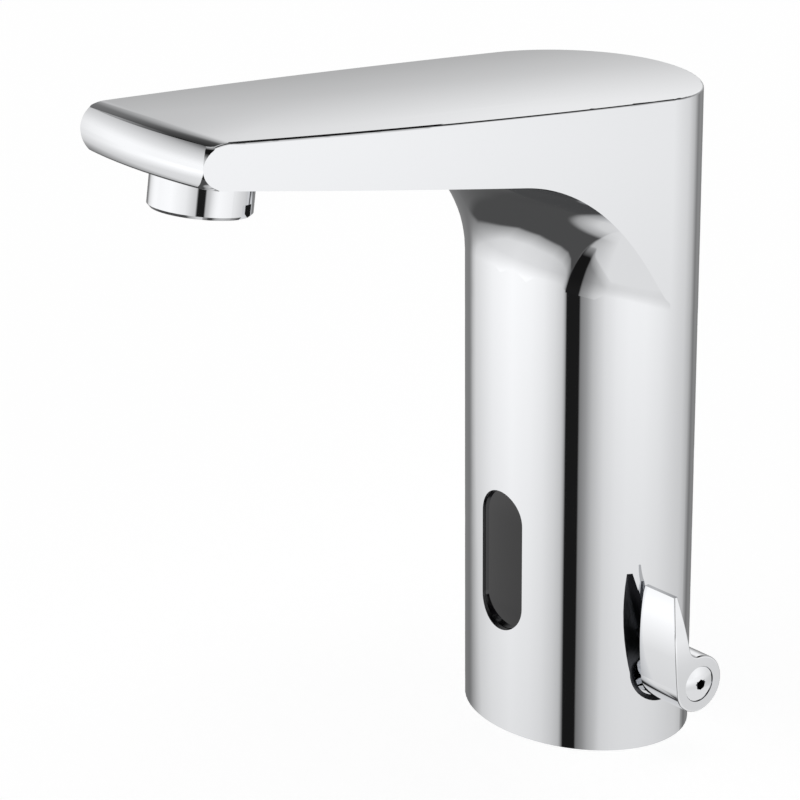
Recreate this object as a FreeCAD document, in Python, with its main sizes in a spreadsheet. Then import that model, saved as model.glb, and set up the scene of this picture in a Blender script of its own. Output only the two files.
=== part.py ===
import FreeCAD
import math
import os
import Part
import Sketcher
from FreeCAD import Rotation, Vector

# A deck-mounted sensor tap: oval column and flat spout cast in one, sensor window in front, mixing lever on
# the user's right. Millimetres, +Z up, origin on the deck at the column's axis, spout to -Y, lever to +X.
SIZES = [
    # casting, outside
    ("column_half_width", 34), ("column_half_depth", 27.3), ("body_height", 176.9), ("top_angle", 3.85),
    ("crown", 1.3), ("arm_depth", 23), ("nose_thickness", 11.2), ("flare_radius", 33), ("spout_reach", 136),
    ("spout_half_tip", 25), ("spout_margin", 0.05), ("nose_bow", 2.5), ("nose_top_depth", 1.6),
    ("nose_under_depth", 1.1), ("nose_share", 0.55), ("nose_edge", 0.5), ("nose_corner", 8), ("top_edge", 0.7),
    # casting, inside
    ("wall", 3.5), ("roof", 7.9), ("lever_wall", 4.2), ("duct_side", 4), ("duct_wall", 3.2),
    ("duct_back", 20.2), ("slip", 0.1), ("running_fit", 0.05), ("turn_gap", 0.3),
    # base
    ("base_thickness", 7), ("seal_width", 1.8), ("seal_thickness", 1.5), ("lug_radius", 4.5),
    ("lug_height", 5), ("lug_x", 22), ("lug_y", 9), ("base_screw_radius", 2), ("base_head_radius", 3.6),
    ("base_head_height", 2.6), ("stud_radius", 3.4), ("stud_y", 18), ("inlet_radius", 4.5),
    ("inlet_x", -10.5), ("inlet_y", 7.8), ("inlet_seal_gap", 0.5), ("inlet_seal_width", 1),
    # sensor
    ("window_width", 16), ("window_length", 39.3), ("window_height", 48.6), ("window_recess", 1.7),
    ("window_plate", 0.8), ("flange_margin", 1.7), ("flange_thickness", 1.5), ("gasket_thickness", 0.5),
    ("pad_depth", 5.8), ("pad_half_width", 13), ("pad_margin", 16), ("housing_depth", 7.9),
    ("housing_wall", 1.2), ("ear_thickness", 2), ("ear_length", 8), ("sensor_screw_radius", 1.5),
    ("sensor_head_radius", 2.8), ("sensor_head_height", 1.8), ("sensor_screw_depth", 3),
    ("board_thickness", 1.2), ("diode_radius", 2.5), ("diode_spacing", 17),
    # lever
    ("lever_length", 25.3), ("lever_hub_radius", 7.8), ("lever_stand", 3.7), ("lever_width", 13.8),
    ("lever_taper", 2.6), ("lever_lean", 7.2), ("lever_tip", 1.3), ("lever_back_angle", 20),
    ("lever_heel", 3), ("lever_bulge", 1), ("lever_edge", 0.5), ("recess_depth", 3.3),
    ("recess_radius", 9.5), ("recess_front", 11.3), ("recess_lean", 10.7), ("recess_tip", 1.4),
    ("recess_length", 28.4), ("drive_size", 7.6), ("drive_depth", 9.4),
    ("lever_screw_radius", 2.45), ("lever_head_radius", 4.75), ("lever_seat_radius", 4.9),
    ("lever_seat_depth", 3.5), ("lever_head_proud", 0.6), ("lever_dome", 0.8), ("lever_screw_length", 11),
    ("hex_radius", 1.5), ("hex_depth", 2.5),
    # mixing valve
    ("valve_radius", 13), ("valve_foot", 2), ("valve_roof", 1), ("valve_back", -17.2), ("valve_front", 17.2),
    ("chamber_radius", 9), ("chamber_back", -6), ("manifold_half_width", 14.4), ("valve_boss_back", -12),
    ("valve_boss_front", 16), ("valve_boss_half_width", 12), ("disc_thickness", 3),
    ("moving_disc_thickness", 4), ("port_radius", 2.2), ("port_offset", 5.5), ("spindle_radius", 5),
    ("spindle_flange", 3), ("spindle_gap", 1), ("slot_width", 3), ("slot_depth", 4), ("tongue_height", 8),
    ("cap_thickness", 4), ("cap_spigot", 3), ("cap_radius", 10.4), ("bush_radius", 7), ("bush_length", 5.7),
    ("bush_flange_radius", 8.2), ("bush_flange", 1.9), ("seal_groove", 1), ("seal_groove_width", 2),
    ("seal_groove_setback", 2.5), ("strainer_thickness", 1), ("strainer_pitch", 1.9), ("strainer_hole", 0.7),
    ("channel_radius", 3.5), ("channel_rise", 2), ("ring_section", 1.6), ("valve_screw_radius", 2),
    ("valve_screw_x", 8), ("valve_screw_y", 9.5), ("valve_screw_length", 6), ("outlet_x", 9.1),
    ("outlet_radius", 2.5),
    # solenoid valve
    ("solenoid_x", 2), ("solenoid_half_width", 13), ("solenoid_half_depth", 12), ("solenoid_height", 16),
    ("pilot_radius", 10), ("pilot_depth", 8), ("seat_radius", 3), ("seat_wall", 1.2), ("seat_height", 3),
    ("diaphragm_thickness", 1.5), ("spigot_wall", 2.5), ("guide_head_radius", 2.5), ("guide_plate", 3),
    ("guide_radius", 5.5), ("guide_length", 26), ("plunger_radius", 4), ("plunger_length", 17),
    ("plunger_pad", 2), ("spring_wall", 1), ("guide_roof", 2), ("coil_radius", 9.5), ("coil_length", 22),
    ("coil_nut_radius", 8), ("coil_nut_length", 3), ("guide_screw_x", 10.4), ("guide_screw_y", 9),
    ("guide_screw_radius", 1.5), ("guide_screw_length", 9),
    # riser
    ("riser_y", 16.8), ("riser_radius", 4), ("riser_bore", 3.2), ("riser_boss_radius", 6),
    ("riser_socket_depth", 8), ("riser_rise", 5), ("passage_radius", 2.5), ("passage_roof", 0.5),
    # battery
    ("battery_width", 35), ("battery_depth", 18), ("battery_share", 0.554), ("battery_gap", 0.5),
    ("battery_y", -4), ("tray_wall", 1.6), ("tray_screw_x", 12), ("tray_screw_depth", 5),
    # aerator
    ("aerator_setback", 17.5), ("aerator_radius", 12.6), ("aerator_drop", 10.2),
    ("aerator_thread_radius", 10.7), ("aerator_thread_length", 4.5), ("aerator_core_radius", 9.3),
    ("aerator_lip", 1), ("aerator_lip_radius", 8.4), ("aerator_rounding", 0.8), ("aerator_washer", 2.5),
    ("washer_bore", 7.5), ("screen_thickness", 0.8), ("screen_pitch", 3.2), ("screen_hole", 0.9),
    ("cell_radius", 1.15), ("cell_spacing", 2.6), ("notch_width", 4), ("notch_height", 3.5),
    ("notch_depth", 0.9), ("notch_angle", 24),
]

# Sizes that follow from the ones above, so that neighbours keep together when one of those changes.
FOLLOWING = [
    ("underside_height", "body_height - arm_depth"),
    ("underside_angle", "atan(tan(top_angle) + (arm_depth - nose_thickness) / (spout_reach + nose_bow))"),
    ("cavity_height", "underside_height - roof"),
    ("aerator_reach", "spout_reach - aerator_setback"),
    ("pad_face", "column_half_depth - pad_depth"),
    ("housing_back", "pad_face - housing_depth"),
    ("recess_flat", "column_half_width - recess_depth"),
    ("lever_height", "base_thickness + valve_foot + valve_radius"),
    ("lever_inner", "recess_flat + lever_stand"),
    ("lever_outer", "lever_inner + lever_width"),
    ("lever_tip_outer", "lever_outer - lever_taper"),
    ("bush_inner", "recess_flat - bush_length"),
    ("spindle_end", "bush_inner - spindle_gap"),
    ("seal_groove_x", "bush_inner + seal_groove_setback"),
    ("valve_top", "lever_height + valve_radius + valve_roof"),
    ("channel_height", "lever_height + channel_rise"),
    ("passage_height", "valve_top + solenoid_height - pilot_depth - passage_radius - passage_roof"),
    ("riser_start", "passage_height + riser_rise"),
    ("guide_top", "valve_top + solenoid_height + guide_plate + guide_length"),
    ("battery_length", "battery_share * (cavity_height - guide_top)"),
    ("battery_shelf", "cavity_height - 2 * tray_wall - sensor_head_height - battery_gap - battery_length"),
]

doc = FreeCAD.newDocument("sensor_tap")
sheet = doc.addObject("Spreadsheet::Sheet", "dim")
for row, (alias, content) in enumerate(SIZES + FOLLOWING, 1):
    sheet.set(f"A{row}", alias)
    sheet.set(f"B{row}", f"={content}")
    sheet.setAlias(f"B{row}", alias)
doc.recompute()

UPRIGHT = Rotation()
ACROSS = Rotation(Vector(0, 1, 0), 90)
FORWARD = Rotation(Vector(1, 0, 0), 90)
nodes = []


def value(expression):
    return float(sheet.evalExpression(expression))


def place(piece, base, turn=UPRIGHT):
    """Put a piece where three expressions say, turned as given."""
    piece.Placement = FreeCAD.Placement(Vector(*[value(each) for each in base]), turn)
    for axis, expression in zip("xyz", base):
        piece.setExpression(f"Placement.Base.{axis}", expression)
    return piece


def bind(piece, **sizes):
    for name, expression in sizes.items():
        piece.setExpression(name, expression)
    return piece


def cylinder(name, radius, length, base, turn=UPRIGHT):
    return place(bind(doc.addObject("Part::Cylinder", name), Radius=radius, Height=length), base, turn)


def box(name, size, base, turn=UPRIGHT):
    piece = doc.addObject("Part::Box", name)
    return place(bind(piece, Length=size[0], Width=size[1], Height=size[2]), base, turn)


def fuse(name, pieces):
    joined = doc.addObject("Part::MultiFuse", name)
    joined.Shapes = pieces
    return joined


def cut(name, base, tools):
    result = doc.addObject("Part::Cut", name)
    result.Base = base
    result.Tool = tools[0] if len(tools) == 1 else fuse(name + "_tools", tools)
    return result


def common(name, base, tool):
    result = doc.addObject("Part::Common", name)
    result.Base = base
    result.Tool = tool
    return result


def outline(body, role, corners):
    """Closed straight-sided sketch on one of the body's own planes, each corner tied to the sizes."""
    plane = [each for each in body.Origin.OriginFeatures if each.Role == role][0]
    sketch = body.newObject("Sketcher::SketchObject", body.Name + "_outline")
    sketch.AttachmentSupport = [(plane, "")]
    sketch.MapMode = "FlatFace"
    points = [Vector(value(across), value(up), 0) for across, up in corners]
    for start, end in zip(points, points[1:] + points[:1]):
        sketch.addGeometry(Part.LineSegment(start, end))
    for corner in range(len(corners)):
        following = (corner + 1) % len(corners)
        sketch.addConstraint(Sketcher.Constraint("Coincident", corner, 2, following, 1))
    for corner, (across, up) in enumerate(corners):
        for kind, expression in (("DistanceX", across), ("DistanceY", up)):
            distance = Sketcher.Constraint(kind, -1, 1, corner, 1, value(expression))
            number = sketch.addConstraint(distance)
            sketch.setExpression(f"Constraints[{number}]", expression)
    return sketch


def turned(name, corners, base=("0", "0", "0"), turn=UPRIGHT):
    """A turned piece: its half section, as radius and height, spun about the piece's own Z axis."""
    body = doc.addObject("PartDesign::Body", name)
    sketch = outline(body, "XZ_Plane", corners)
    spin = body.newObject("PartDesign::Revolution", name + "_spin")
    spin.Profile = sketch
    spin.ReferenceAxis = (sketch, ["V_Axis"])
    spin.Angle = 360
    return place(body, base, turn)


def ring(inner, outer, low, high):
    return [(inner, low), (outer, low), (outer, high), (inner, high)]


def rod(radius, low, high):
    return ring("0", radius, low, high)


def set_of(name, pieces):
    group = doc.addObject("Part::Compound", name)
    group.Links = pieces
    return group


def rounded_slot(name, half_width, half_length, front, depth):
    """Upright round-ended plate on the middle plane, its front face at Y = front, reaching back."""
    straight = f"({half_length}) - ({half_width})"
    middle = "dim.window_height"
    plate = box(name + "_plate", (f"2 * ({half_width})", depth, f"2 * ({straight})"),
                (f"-({half_width})", front, f"{middle} - ({straight})"))
    ends = []
    for word, sign in (("top", "+"), ("foot", "-")):
        ends.append(cylinder(f"{name}_{word}", half_width, depth,
                             ("0", f"({front}) + ({depth})", f"{middle} {sign} ({straight})"), FORWARD))
    return fuse(name, [plate] + ends)


def keep(piece, label):
    piece.Label = label
    nodes.append(piece)
    return piece


def tangent_arc(start, direction, end):
    """Arc from start, leaving along direction, to end."""
    chord = end - start
    half_turn = direction.getAngle(chord) / 2
    middle = (direction.normalize() + Vector(chord).normalize()).normalize()
    return Part.Arc(start, start + middle * (chord.Length / 2 / math.cos(half_turn)), end)


# Body casting: column, spout and the flare between them. The spout is a slab between two slanted planes, its
# top crowned; the flare rolls from its underside onto the oval column. The plan outline trims slab and flare.
def spout_plan(margin):
    """Outline seen from above, as a face, set out from the column and the spout's sides by a margin."""
    half_width = value("dim.column_half_width") + margin
    half_depth = value("dim.column_half_depth") + margin
    reach = value("dim.spout_reach") + margin
    tip = value("dim.spout_half_tip") + margin
    right, left = Vector(half_width, 0, 0), Vector(-half_width, 0, 0)
    right_corner, left_corner = Vector(tip, -reach, 0), Vector(-tip, -reach, 0)
    back = Part.ArcOfEllipse(Part.Ellipse(Vector(), half_width, half_depth), 0, math.pi)
    nose = Part.Arc(right_corner, Vector(0, -reach - value("dim.nose_bow"), 0), left_corner)
    sides = [tangent_arc(start, Vector(0, -1, 0), end)
             for start, end in ((right, right_corner), (left, left_corner))]
    edges = [curve.toShape() for curve in [back, nose] + sides]
    return Part.Face(Part.Wire(Part.__sortEdges__(edges)))


def slab_outline(near, far, lift_under, lift_top):
    """Side outline of the spout's slab, in Y and Z, between two distances in front of the axis."""
    under, rise_under = value("dim.underside_height") + lift_under, value("tan(dim.underside_angle)")
    top, rise_top = value("dim.body_height") + lift_top, value("tan(dim.top_angle)")
    corners = [Vector(0, -near, under + near * rise_under), Vector(0, -far, under + far * rise_under),
               Vector(0, -far, top + far * rise_top), Vector(0, -near, top + near * rise_top)]
    return Part.Face(Part.makePolygon(corners + corners[:1]))


def nose_section(radius, top_depth, under_depth):
    """Upright section of what is taken off in front, beyond a bulging edge at a radius from the Z axis."""
    beyond = value("dim.spout_reach") / 2
    half, edge = value("dim.nose_thickness") / 2, value("dim.nose_edge")
    spread = math.tan(math.radians(value("dim.underside_angle") - value("dim.top_angle")) / 2)
    tip_point = Vector(radius, 0, half - 2 * half * value("dim.nose_share"))
    waste = [Part.makeLine(Vector(radius + beyond, 0, -beyond), Vector(radius + beyond, 0, beyond))]
    for side, depth in ((1, top_depth), (-1, under_depth)):
        level = side * (half + (depth + edge) * spread)
        shoulder = Vector(radius - depth, 0, level - side * edge)
        rim = Vector(radius - depth - edge, 0, level)
        waste.append(tangent_arc(tip_point, Vector(0, 0, side), shoulder).toShape())
        path = [shoulder, rim, Vector(rim.x, 0, side * beyond), Vector(radius + beyond, 0, side * beyond)]
        waste += [Part.makeLine(start, end) for start, end in zip(path, path[1:])]
    return Part.Face(Part.Wire(Part.__sortEdges__(waste)))


def nose_waste():
    """What is taken off in front: the bow leaves a bulging face, and the corners are round at top and foot."""
    reach, bow, tip = value("dim.spout_reach"), value("dim.nose_bow"), value("dim.spout_half_tip")
    corner, edge = value("dim.nose_corner"), value("dim.nose_edge")
    top_depth, under_depth = value("dim.nose_top_depth"), value("dim.nose_under_depth")
    bow_radius = (tip ** 2 + bow ** 2) / (2 * bow)
    narrowing = value("dim.column_half_width") - tip
    side_turn = 2 * math.atan(narrowing / reach)
    # The corner's centre lies one corner radius inside the side, and inside the face's upper edge.
    side_out = Vector(math.cos(side_turn), -math.sin(side_turn), 0)
    along_side = Vector(math.sin(side_turn), math.cos(side_turn), 0)
    sharp_corner = Vector(tip, bow - bow_radius, 0)
    start = sharp_corner - side_out * corner
    lead = start.dot(along_side)
    slide = -lead - math.sqrt(lead ** 2 - start.dot(start) + (bow_radius - top_depth - corner) ** 2)
    centre = start + along_side * slide
    corner_reach = (sharp_corner - centre).Length
    corner_depth = corner_reach - corner - 2 * edge
    right_angle = 90
    up = Vector(0, 0, 1)
    corner_start = math.degrees(math.atan2(centre.y, centre.x))
    corner_turn = math.degrees(-side_turn) - corner_start
    bow_turn = math.degrees(math.asin(value("dim.column_half_width") / bow_radius))
    bow_waste = nose_section(bow_radius, top_depth, under_depth)
    bow_waste.rotate(Vector(), up, -right_angle - bow_turn)
    front_waste = bow_waste.revolve(Vector(), up, 2 * bow_turn)
    corner_waste = nose_section(corner_reach, corner_depth, corner_depth)
    corner_waste.rotate(Vector(), up, corner_start)
    right_waste = corner_waste.revolve(Vector(), up, corner_turn)
    right_waste.translate(centre)
    left_waste = right_waste.mirror(Vector(), Vector(1, 0, 0))
    front = reach + bow
    top = value("dim.body_height") + front * value("tan(dim.top_angle)")
    lean = (value("dim.top_angle") + value("dim.underside_angle")) / 2
    middle = top - value("dim.nose_thickness") / 2
    tilt = math.radians(lean)
    sweeps = [front_waste, right_waste, left_waste]
    for sweep in sweeps:
        sweep.rotate(Vector(), Vector(1, 0, 0), -lean)
        sweep.translate(Vector(0, -front + bow_radius * math.cos(tilt), middle - bow_radius * math.sin(tilt)))
    return sweeps


def casting_blank():
    half_width, half_depth = value("dim.column_half_width"), value("dim.column_half_depth")
    flare = value("dim.flare_radius")
    height = value("dim.body_height")
    room = half_width + 2 * flare
    reach = value("dim.spout_reach") + value("dim.nose_bow") + flare
    oval = Part.Face(Part.Wire(Part.Ellipse(Vector(), half_width, half_depth).toShape()))
    column = oval.extrude(Vector(0, 0, (value("dim.underside_height") + height) / 2))
    slab = slab_outline(-room, reach, 0, 0)
    slab.translate(Vector(-room, 0, 0))
    joined = column.fuse(slab.extrude(Vector(2 * room, 0, 0)))
    inner_edges = []
    for edge in joined.Edges:
        middle = edge.valueAt((edge.FirstParameter + edge.LastParameter) / 2)
        on_oval = abs((middle.x / half_width) ** 2 + (middle.y / half_depth) ** 2 - 1) < 1e-4
        if on_oval and not isinstance(edge.Curve, Part.Line) and middle.z > flare:
            inner_edges.append(edge)
    flared = joined.makeFillet(flare, inner_edges)
    prism = spout_plan(value("dim.spout_margin")).extrude(Vector(0, 0, 2 * height))
    crown = value("dim.crown")
    crown_radius = (half_width ** 2 + crown ** 2) / (2 * crown)
    rise = value("tan(dim.top_angle)")
    along = Vector(0, -1, rise).normalize()
    across_top = Vector(0, rise, 1).normalize()
    crown_base = Vector(0, 0, height) - across_top * crown_radius - along * reach
    crowned = Part.makeCylinder(crown_radius, 3 * reach, crown_base, along)
    trimmed = flared.common(prism).common(crowned).Solids[0]
    top_face = min(trimmed.Faces, key=lambda face: abs(getattr(face.Surface, "Radius", 0) - crown_radius))
    rim = [edge for edge in top_face.Edges if edge.CenterOfMass.y > -value("dim.spout_reach") + flare]
    return trimmed.makeFillet(value("dim.top_edge"), rim).cut(nose_waste()).Solids[0]


blank = doc.addObject("Part::Feature", "casting_blank")
blank.Shape = casting_blank()

inner_half_width = "(dim.column_half_width - dim.wall)"
inner_half_depth = "(dim.column_half_depth - dim.wall)"
inner_flat = "(dim.recess_flat - dim.lever_wall)"


def oval_prism(name, half_width, half_depth, base, height):
    oval = bind(doc.addObject("Part::Ellipse", name + "_oval"), MajorRadius=half_width, MinorRadius=half_depth)
    prism = doc.addObject("Part::Extrusion", name)
    prism.Base = oval
    prism.DirMode = "Custom"
    prism.Dir = Vector(0, 0, 1)
    prism.Solid = True
    bind(prism, LengthFwd=height)
    return place(prism, ("0", "0", base))


def lever_side(name, height):
    """Block that fills the lever's side of the column's inside, up to the given height."""
    return box(name, ("dim.column_half_width", "2 * dim.column_half_depth", height),
               (inner_flat, "-dim.column_half_depth", "0"))


window_face = "(dim.column_half_depth - dim.window_recess)"
ledge = f"({window_face} - dim.window_plate)"
flange_half_width = "(dim.window_width / 2 + dim.flange_margin)"
flange_half_length = "(dim.window_length / 2 + dim.flange_margin)"
pad_half_length = "(dim.window_length / 2 + dim.pad_margin)"
lug_places = [("dim.lug_x", "dim.lug_y"), ("dim.lug_x", "-dim.lug_y"),
              ("-dim.lug_x", "dim.lug_y"), ("-dim.lug_x", "-dim.lug_y")]
sensor_screw_rise = "(dim.window_length / 2 + dim.flange_margin + dim.ear_length / 2)"
tray_screw_places = ["dim.tray_screw_x", "-dim.tray_screw_x"]

cavity = oval_prism("cavity_oval", inner_half_width, inner_half_depth, "0", "dim.cavity_height")
lugs = []
for number, (x, y) in enumerate(lug_places):
    lugs.append(cylinder(f"lug_{number}", "dim.lug_radius", "dim.lug_height", (x, y, "dim.base_thickness")))
    wall_side = "dim.lug_x" if number < 2 else "-dim.column_half_width"
    web_size = ("dim.column_half_width - dim.lug_x", "2 * dim.lug_radius", "dim.lug_height")
    lugs.append(box(f"lug_web_{number}", web_size, (wall_side, f"{y} - dim.lug_radius", "dim.base_thickness")))
window_pad = box("window_pad", ("2 * dim.pad_half_width", "dim.column_half_depth", f"2 * {pad_half_length}"),
                 ("-dim.pad_half_width", "-dim.pad_face - dim.column_half_depth",
                  f"dim.window_height - {pad_half_length}"))
hollow = cut("hollow", cavity, lugs + [window_pad, lever_side("lever_side_wall", "dim.cavity_height")])

opening = rounded_slot("window_opening", "dim.window_width / 2", "dim.window_length / 2",
                       "-2 * dim.column_half_depth", "2 * dim.column_half_depth - dim.pad_face")
flange_pocket = rounded_slot("flange_pocket", flange_half_width, flange_half_length, f"-{ledge}",
                             f"{ledge} - dim.pad_face")

duct = doc.addObject("Part::Feature", "duct")
duct_face = slab_outline(-value("dim.duct_back"), value("dim.aerator_reach"),
                         value("dim.duct_wall"), -value("dim.duct_wall"))
duct_face.translate(Vector(-value("dim.column_half_width"), 0, 0))
duct_plan = spout_plan(-value("dim.duct_side")).extrude(Vector(0, 0, 2 * value("dim.body_height")))
duct.Shape = duct_face.extrude(Vector(2 * value("dim.column_half_width"), 0, 0)).common(duct_plan)

spout_turn = Rotation(Vector(1, 0, 0), -value("dim.underside_angle"))
outlet_base = ("0", "-dim.aerator_reach",
               "dim.underside_height + dim.aerator_reach * tan(dim.underside_angle)")
outlet_depth = "(dim.aerator_thread_length + dim.aerator_washer)"
outlet_section = rod("dim.aerator_thread_radius + dim.slip", f"-{outlet_depth}", outlet_depth)
outlet_bore = turned("outlet_bore", outlet_section, outlet_base, spout_turn)
riser_roof = ("dim.solenoid_x", "dim.riser_y", "dim.cavity_height")
riser_socket = cylinder("riser_socket", "dim.riser_radius + dim.slip", "dim.riser_socket_depth", riser_roof)
riser_port = cylinder("riser_port", "dim.riser_bore", "dim.roof + dim.duct_wall", riser_roof)


def lever_recess():
    """Flat behind the lever: round about its axis, with a bowed sickle in front that runs up to a tip."""
    radius, length = value("dim.recess_radius"), value("dim.recess_length")
    back = math.radians(value("dim.lever_back_angle"))
    foot = Vector(0, -radius, 0)
    bow = Vector(0, -value("dim.recess_front"), length / 2)
    front_tip = Vector(0, -value("dim.recess_lean"), length)
    back_tip = front_tip + Vector(0, value("dim.recess_tip"), 0)
    heel = Vector(0, -radius * math.sin(back), radius * math.cos(back))
    opposite = Vector(0, radius * math.cos(back / 2), -radius * math.sin(back / 2))
    edges = [Part.Arc(foot, bow, front_tip).toShape(), Part.makeLine(front_tip, back_tip),
             Part.makeLine(back_tip, heel), Part.Arc(heel, opposite, foot).toShape()]
    face = Part.Face(Part.Wire(Part.__sortEdges__(edges)))
    face.translate(Vector(value("dim.recess_flat"), 0, value("dim.lever_height")))
    return face.extrude(Vector(value("dim.column_half_width"), 0, 0))


recess = doc.addObject("Part::Feature", "lever_recess")
recess.Shape = lever_recess()
bush_bore = cylinder("bush_bore", "dim.bush_radius + dim.slip", "dim.column_half_width",
                     ("0", "0", "dim.lever_height"), ACROSS)
lug_holes = [cylinder(f"lug_hole_{number}", "dim.base_screw_radius + dim.slip", "dim.lug_height",
                      (x, y, "dim.base_thickness")) for number, (x, y) in enumerate(lug_places)]
pad_holes = [cylinder(f"pad_hole_{sign}", "dim.sensor_screw_radius + dim.slip", "dim.sensor_screw_depth",
                      ("0", "-dim.pad_face", f"dim.window_height + {sign} * {sensor_screw_rise}"), FORWARD)
             for sign in ("1", "-1")]
roof_holes = [cylinder(f"roof_hole_{number}", "dim.sensor_screw_radius + dim.slip", "dim.tray_screw_depth",
                       (x, "dim.battery_y", "dim.cavity_height")) for number, x in enumerate(tray_screw_places)]


def oval_ring(name, inset, width, height):
    """Oval ring in the column's foot: outer edge set in from the column's face."""
    outer = oval_prism(name + "_outer", f"dim.column_half_width - ({inset})",
                       f"dim.column_half_depth - ({inset})", "0", height)
    inner = oval_prism(name + "_inner", f"dim.column_half_width - ({inset}) - ({width})",
                       f"dim.column_half_depth - ({inset}) - ({width})", "0", height)
    return cut(name, outer, [inner])


seal_inset = "(dim.wall - dim.seal_width) / 2"
rim_groove = oval_ring("rim_groove", seal_inset, "dim.seal_width", "dim.seal_thickness")
casting_tools = [hollow, opening, flange_pocket, duct, outlet_bore, riser_socket, riser_port, recess, bush_bore,
                 rim_groove]
keep(cut("casting", blank, casting_tools + lug_holes + pad_holes + roof_holes), "body_casting")

# Base: a plate in the column's foot, flush with the deck, on four lugs. It carries the mixing valve and has
# the threaded holes for two fixing studs and the two supply hoses.
foot_seal = oval_ring("foot_seal", f"{seal_inset} + dim.slip", "dim.seal_width - 2 * dim.slip",
                      "dim.seal_thickness")
keep(foot_seal, "base_seal")
plate_blank = oval_prism("plate_blank", f"{inner_half_width} - dim.slip", f"{inner_half_depth} - dim.slip",
                         "0", "dim.base_thickness")
plate_side = box("plate_side", ("dim.column_half_width", "2 * dim.column_half_depth", "dim.base_thickness"),
                 (f"{inner_flat} - dim.slip", "-dim.column_half_depth", "0"))
valve_screw_places = [("dim.valve_screw_x", "dim.valve_screw_y"),
                      ("dim.valve_screw_x", "-dim.valve_screw_y")]
inlet_places = [("dim.inlet_x", "dim.inlet_y"), ("dim.inlet_x", "-dim.inlet_y")]
plate_tools = [plate_side]
for number, (x, y) in enumerate(lug_places + valve_screw_places):
    plate_tools.append(turned(f"plate_screw_hole_{number}", [
        ("0", "-dim.slip"), ("dim.base_head_radius + dim.slip", "-dim.slip"),
        ("dim.base_head_radius + dim.slip", "dim.base_head_height"),
        ("dim.base_screw_radius + dim.slip", "dim.base_head_height"),
        ("dim.base_screw_radius + dim.slip", "dim.base_thickness + dim.slip"),
        ("0", "dim.base_thickness + dim.slip")], (x, y, "0")))
for number, sign in enumerate(("1", "-1")):
    plate_tools.append(cylinder(f"stud_hole_{number}", "dim.stud_radius", "dim.base_thickness",
                                ("0", f"{sign} * dim.stud_y", "0")))
for number, (x, y) in enumerate(inlet_places):
    inlet_hole = cylinder(f"inlet_hole_{number}", "dim.inlet_radius", "dim.base_thickness", (x, y, "0"))
    plate_tools.append(inlet_hole)
keep(cut("plate", plate_blank, plate_tools), "base_plate")


def plate_screws(name, places, depth):
    """Cap screws, heads sunk in the plate's underside, reaching a given depth above the plate."""
    end = f"dim.base_thickness + {depth}"
    section = [("0", "dim.slip"), ("dim.base_head_radius", "dim.slip"),
               ("dim.base_head_radius", "dim.base_head_height"),
               ("dim.base_screw_radius", "dim.base_head_height"), ("dim.base_screw_radius", end), ("0", end)]
    return set_of(name, [turned(f"{name}_{number}", section, (x, y, "0"))
                         for number, (x, y) in enumerate(places)])


keep(plate_screws("lug_screws", lug_places, "dim.lug_height - dim.slip"), "base_screws")
manifold_screws = plate_screws("manifold_screws", valve_screw_places, "dim.valve_screw_length - dim.slip")
keep(manifold_screws, "valve_screws")

# Mixing valve: a round chamber across the column, in line with the lever, on a manifold that stands on the
# base plate. Hot and cold come up two channels to the fixed disc's ports, and leave mixed through the top.
axis_base = ("0", "0", "dim.lever_height")


def across(name, corners):
    """A turned piece on the lever's axis, its half section given as radius and X."""
    return turned(name, corners, axis_base, ACROSS)


barrel = across("valve_barrel", rod("dim.valve_radius", "dim.valve_back", "dim.valve_front"))
manifold = box("valve_manifold", ("dim.valve_boss_front - dim.valve_back", "2 * dim.manifold_half_width",
                                  "dim.lever_height - dim.base_thickness"),
               ("dim.valve_back", "-dim.manifold_half_width", "dim.base_thickness"))
valve_boss = box("valve_boss", ("dim.valve_boss_front - dim.valve_boss_back", "2 * dim.valve_boss_half_width",
                                "dim.valve_top - dim.lever_height"),
                 ("dim.valve_boss_back", "-dim.valve_boss_half_width", "dim.lever_height"))
seal_inner = "(dim.inlet_radius + dim.inlet_seal_gap)"
seal_outer = f"({seal_inner} + dim.inlet_seal_width)"
strainer_top = "dim.ring_section + dim.strainer_thickness"
channel_top = "dim.channel_height - dim.base_thickness"
inlet_way = [("0", "0"), (f"{seal_outer} + dim.slip", "0"), (f"{seal_outer} + dim.slip", "dim.ring_section"),
             (seal_inner, "dim.ring_section"), (seal_inner, strainer_top), ("dim.channel_radius", strainer_top),
             ("dim.channel_radius", channel_top), ("0", channel_top)]
valve_tools = [across("chamber", rod("dim.chamber_radius", "dim.chamber_back", "dim.valve_front"))]
for number, (x, y) in enumerate(inlet_places):
    sign = ("1", "-1")[number]
    valve_tools.append(cylinder(f"port_{number}", "dim.port_radius", "dim.chamber_back - dim.inlet_x",
                                (x, f"{sign} * dim.port_offset", "dim.lever_height"), ACROSS))
    valve_tools.append(turned(f"inlet_way_{number}", inlet_way, (x, y, "dim.base_thickness")))
for number, (x, y) in enumerate(valve_screw_places):
    valve_tools.append(cylinder(f"manifold_hole_{number}", "dim.valve_screw_radius + dim.slip",
                                "dim.valve_screw_length", (x, y, "dim.base_thickness")))
guide_screw_places = [(f"dim.solenoid_x + {side} * dim.guide_screw_x", f"{end} * dim.guide_screw_y")
                      for side in ("1", "-1") for end in ("1", "-1")]
for number, (x, y) in enumerate(guide_screw_places):
    valve_tools.append(cylinder(f"boss_hole_{number}", "dim.guide_screw_radius + dim.slip",
                                "dim.guide_screw_length", (x, y, "dim.valve_top - dim.guide_screw_length")))
valve_tools.append(cylinder("mixed_outlet", "dim.outlet_radius", "dim.valve_top - dim.lever_height",
                            ("dim.outlet_x", "0", "dim.lever_height")))
keep(cut("valve", fuse("valve_blank", [barrel, manifold, valve_boss]), valve_tools), "mixing_valve_body")

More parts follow.
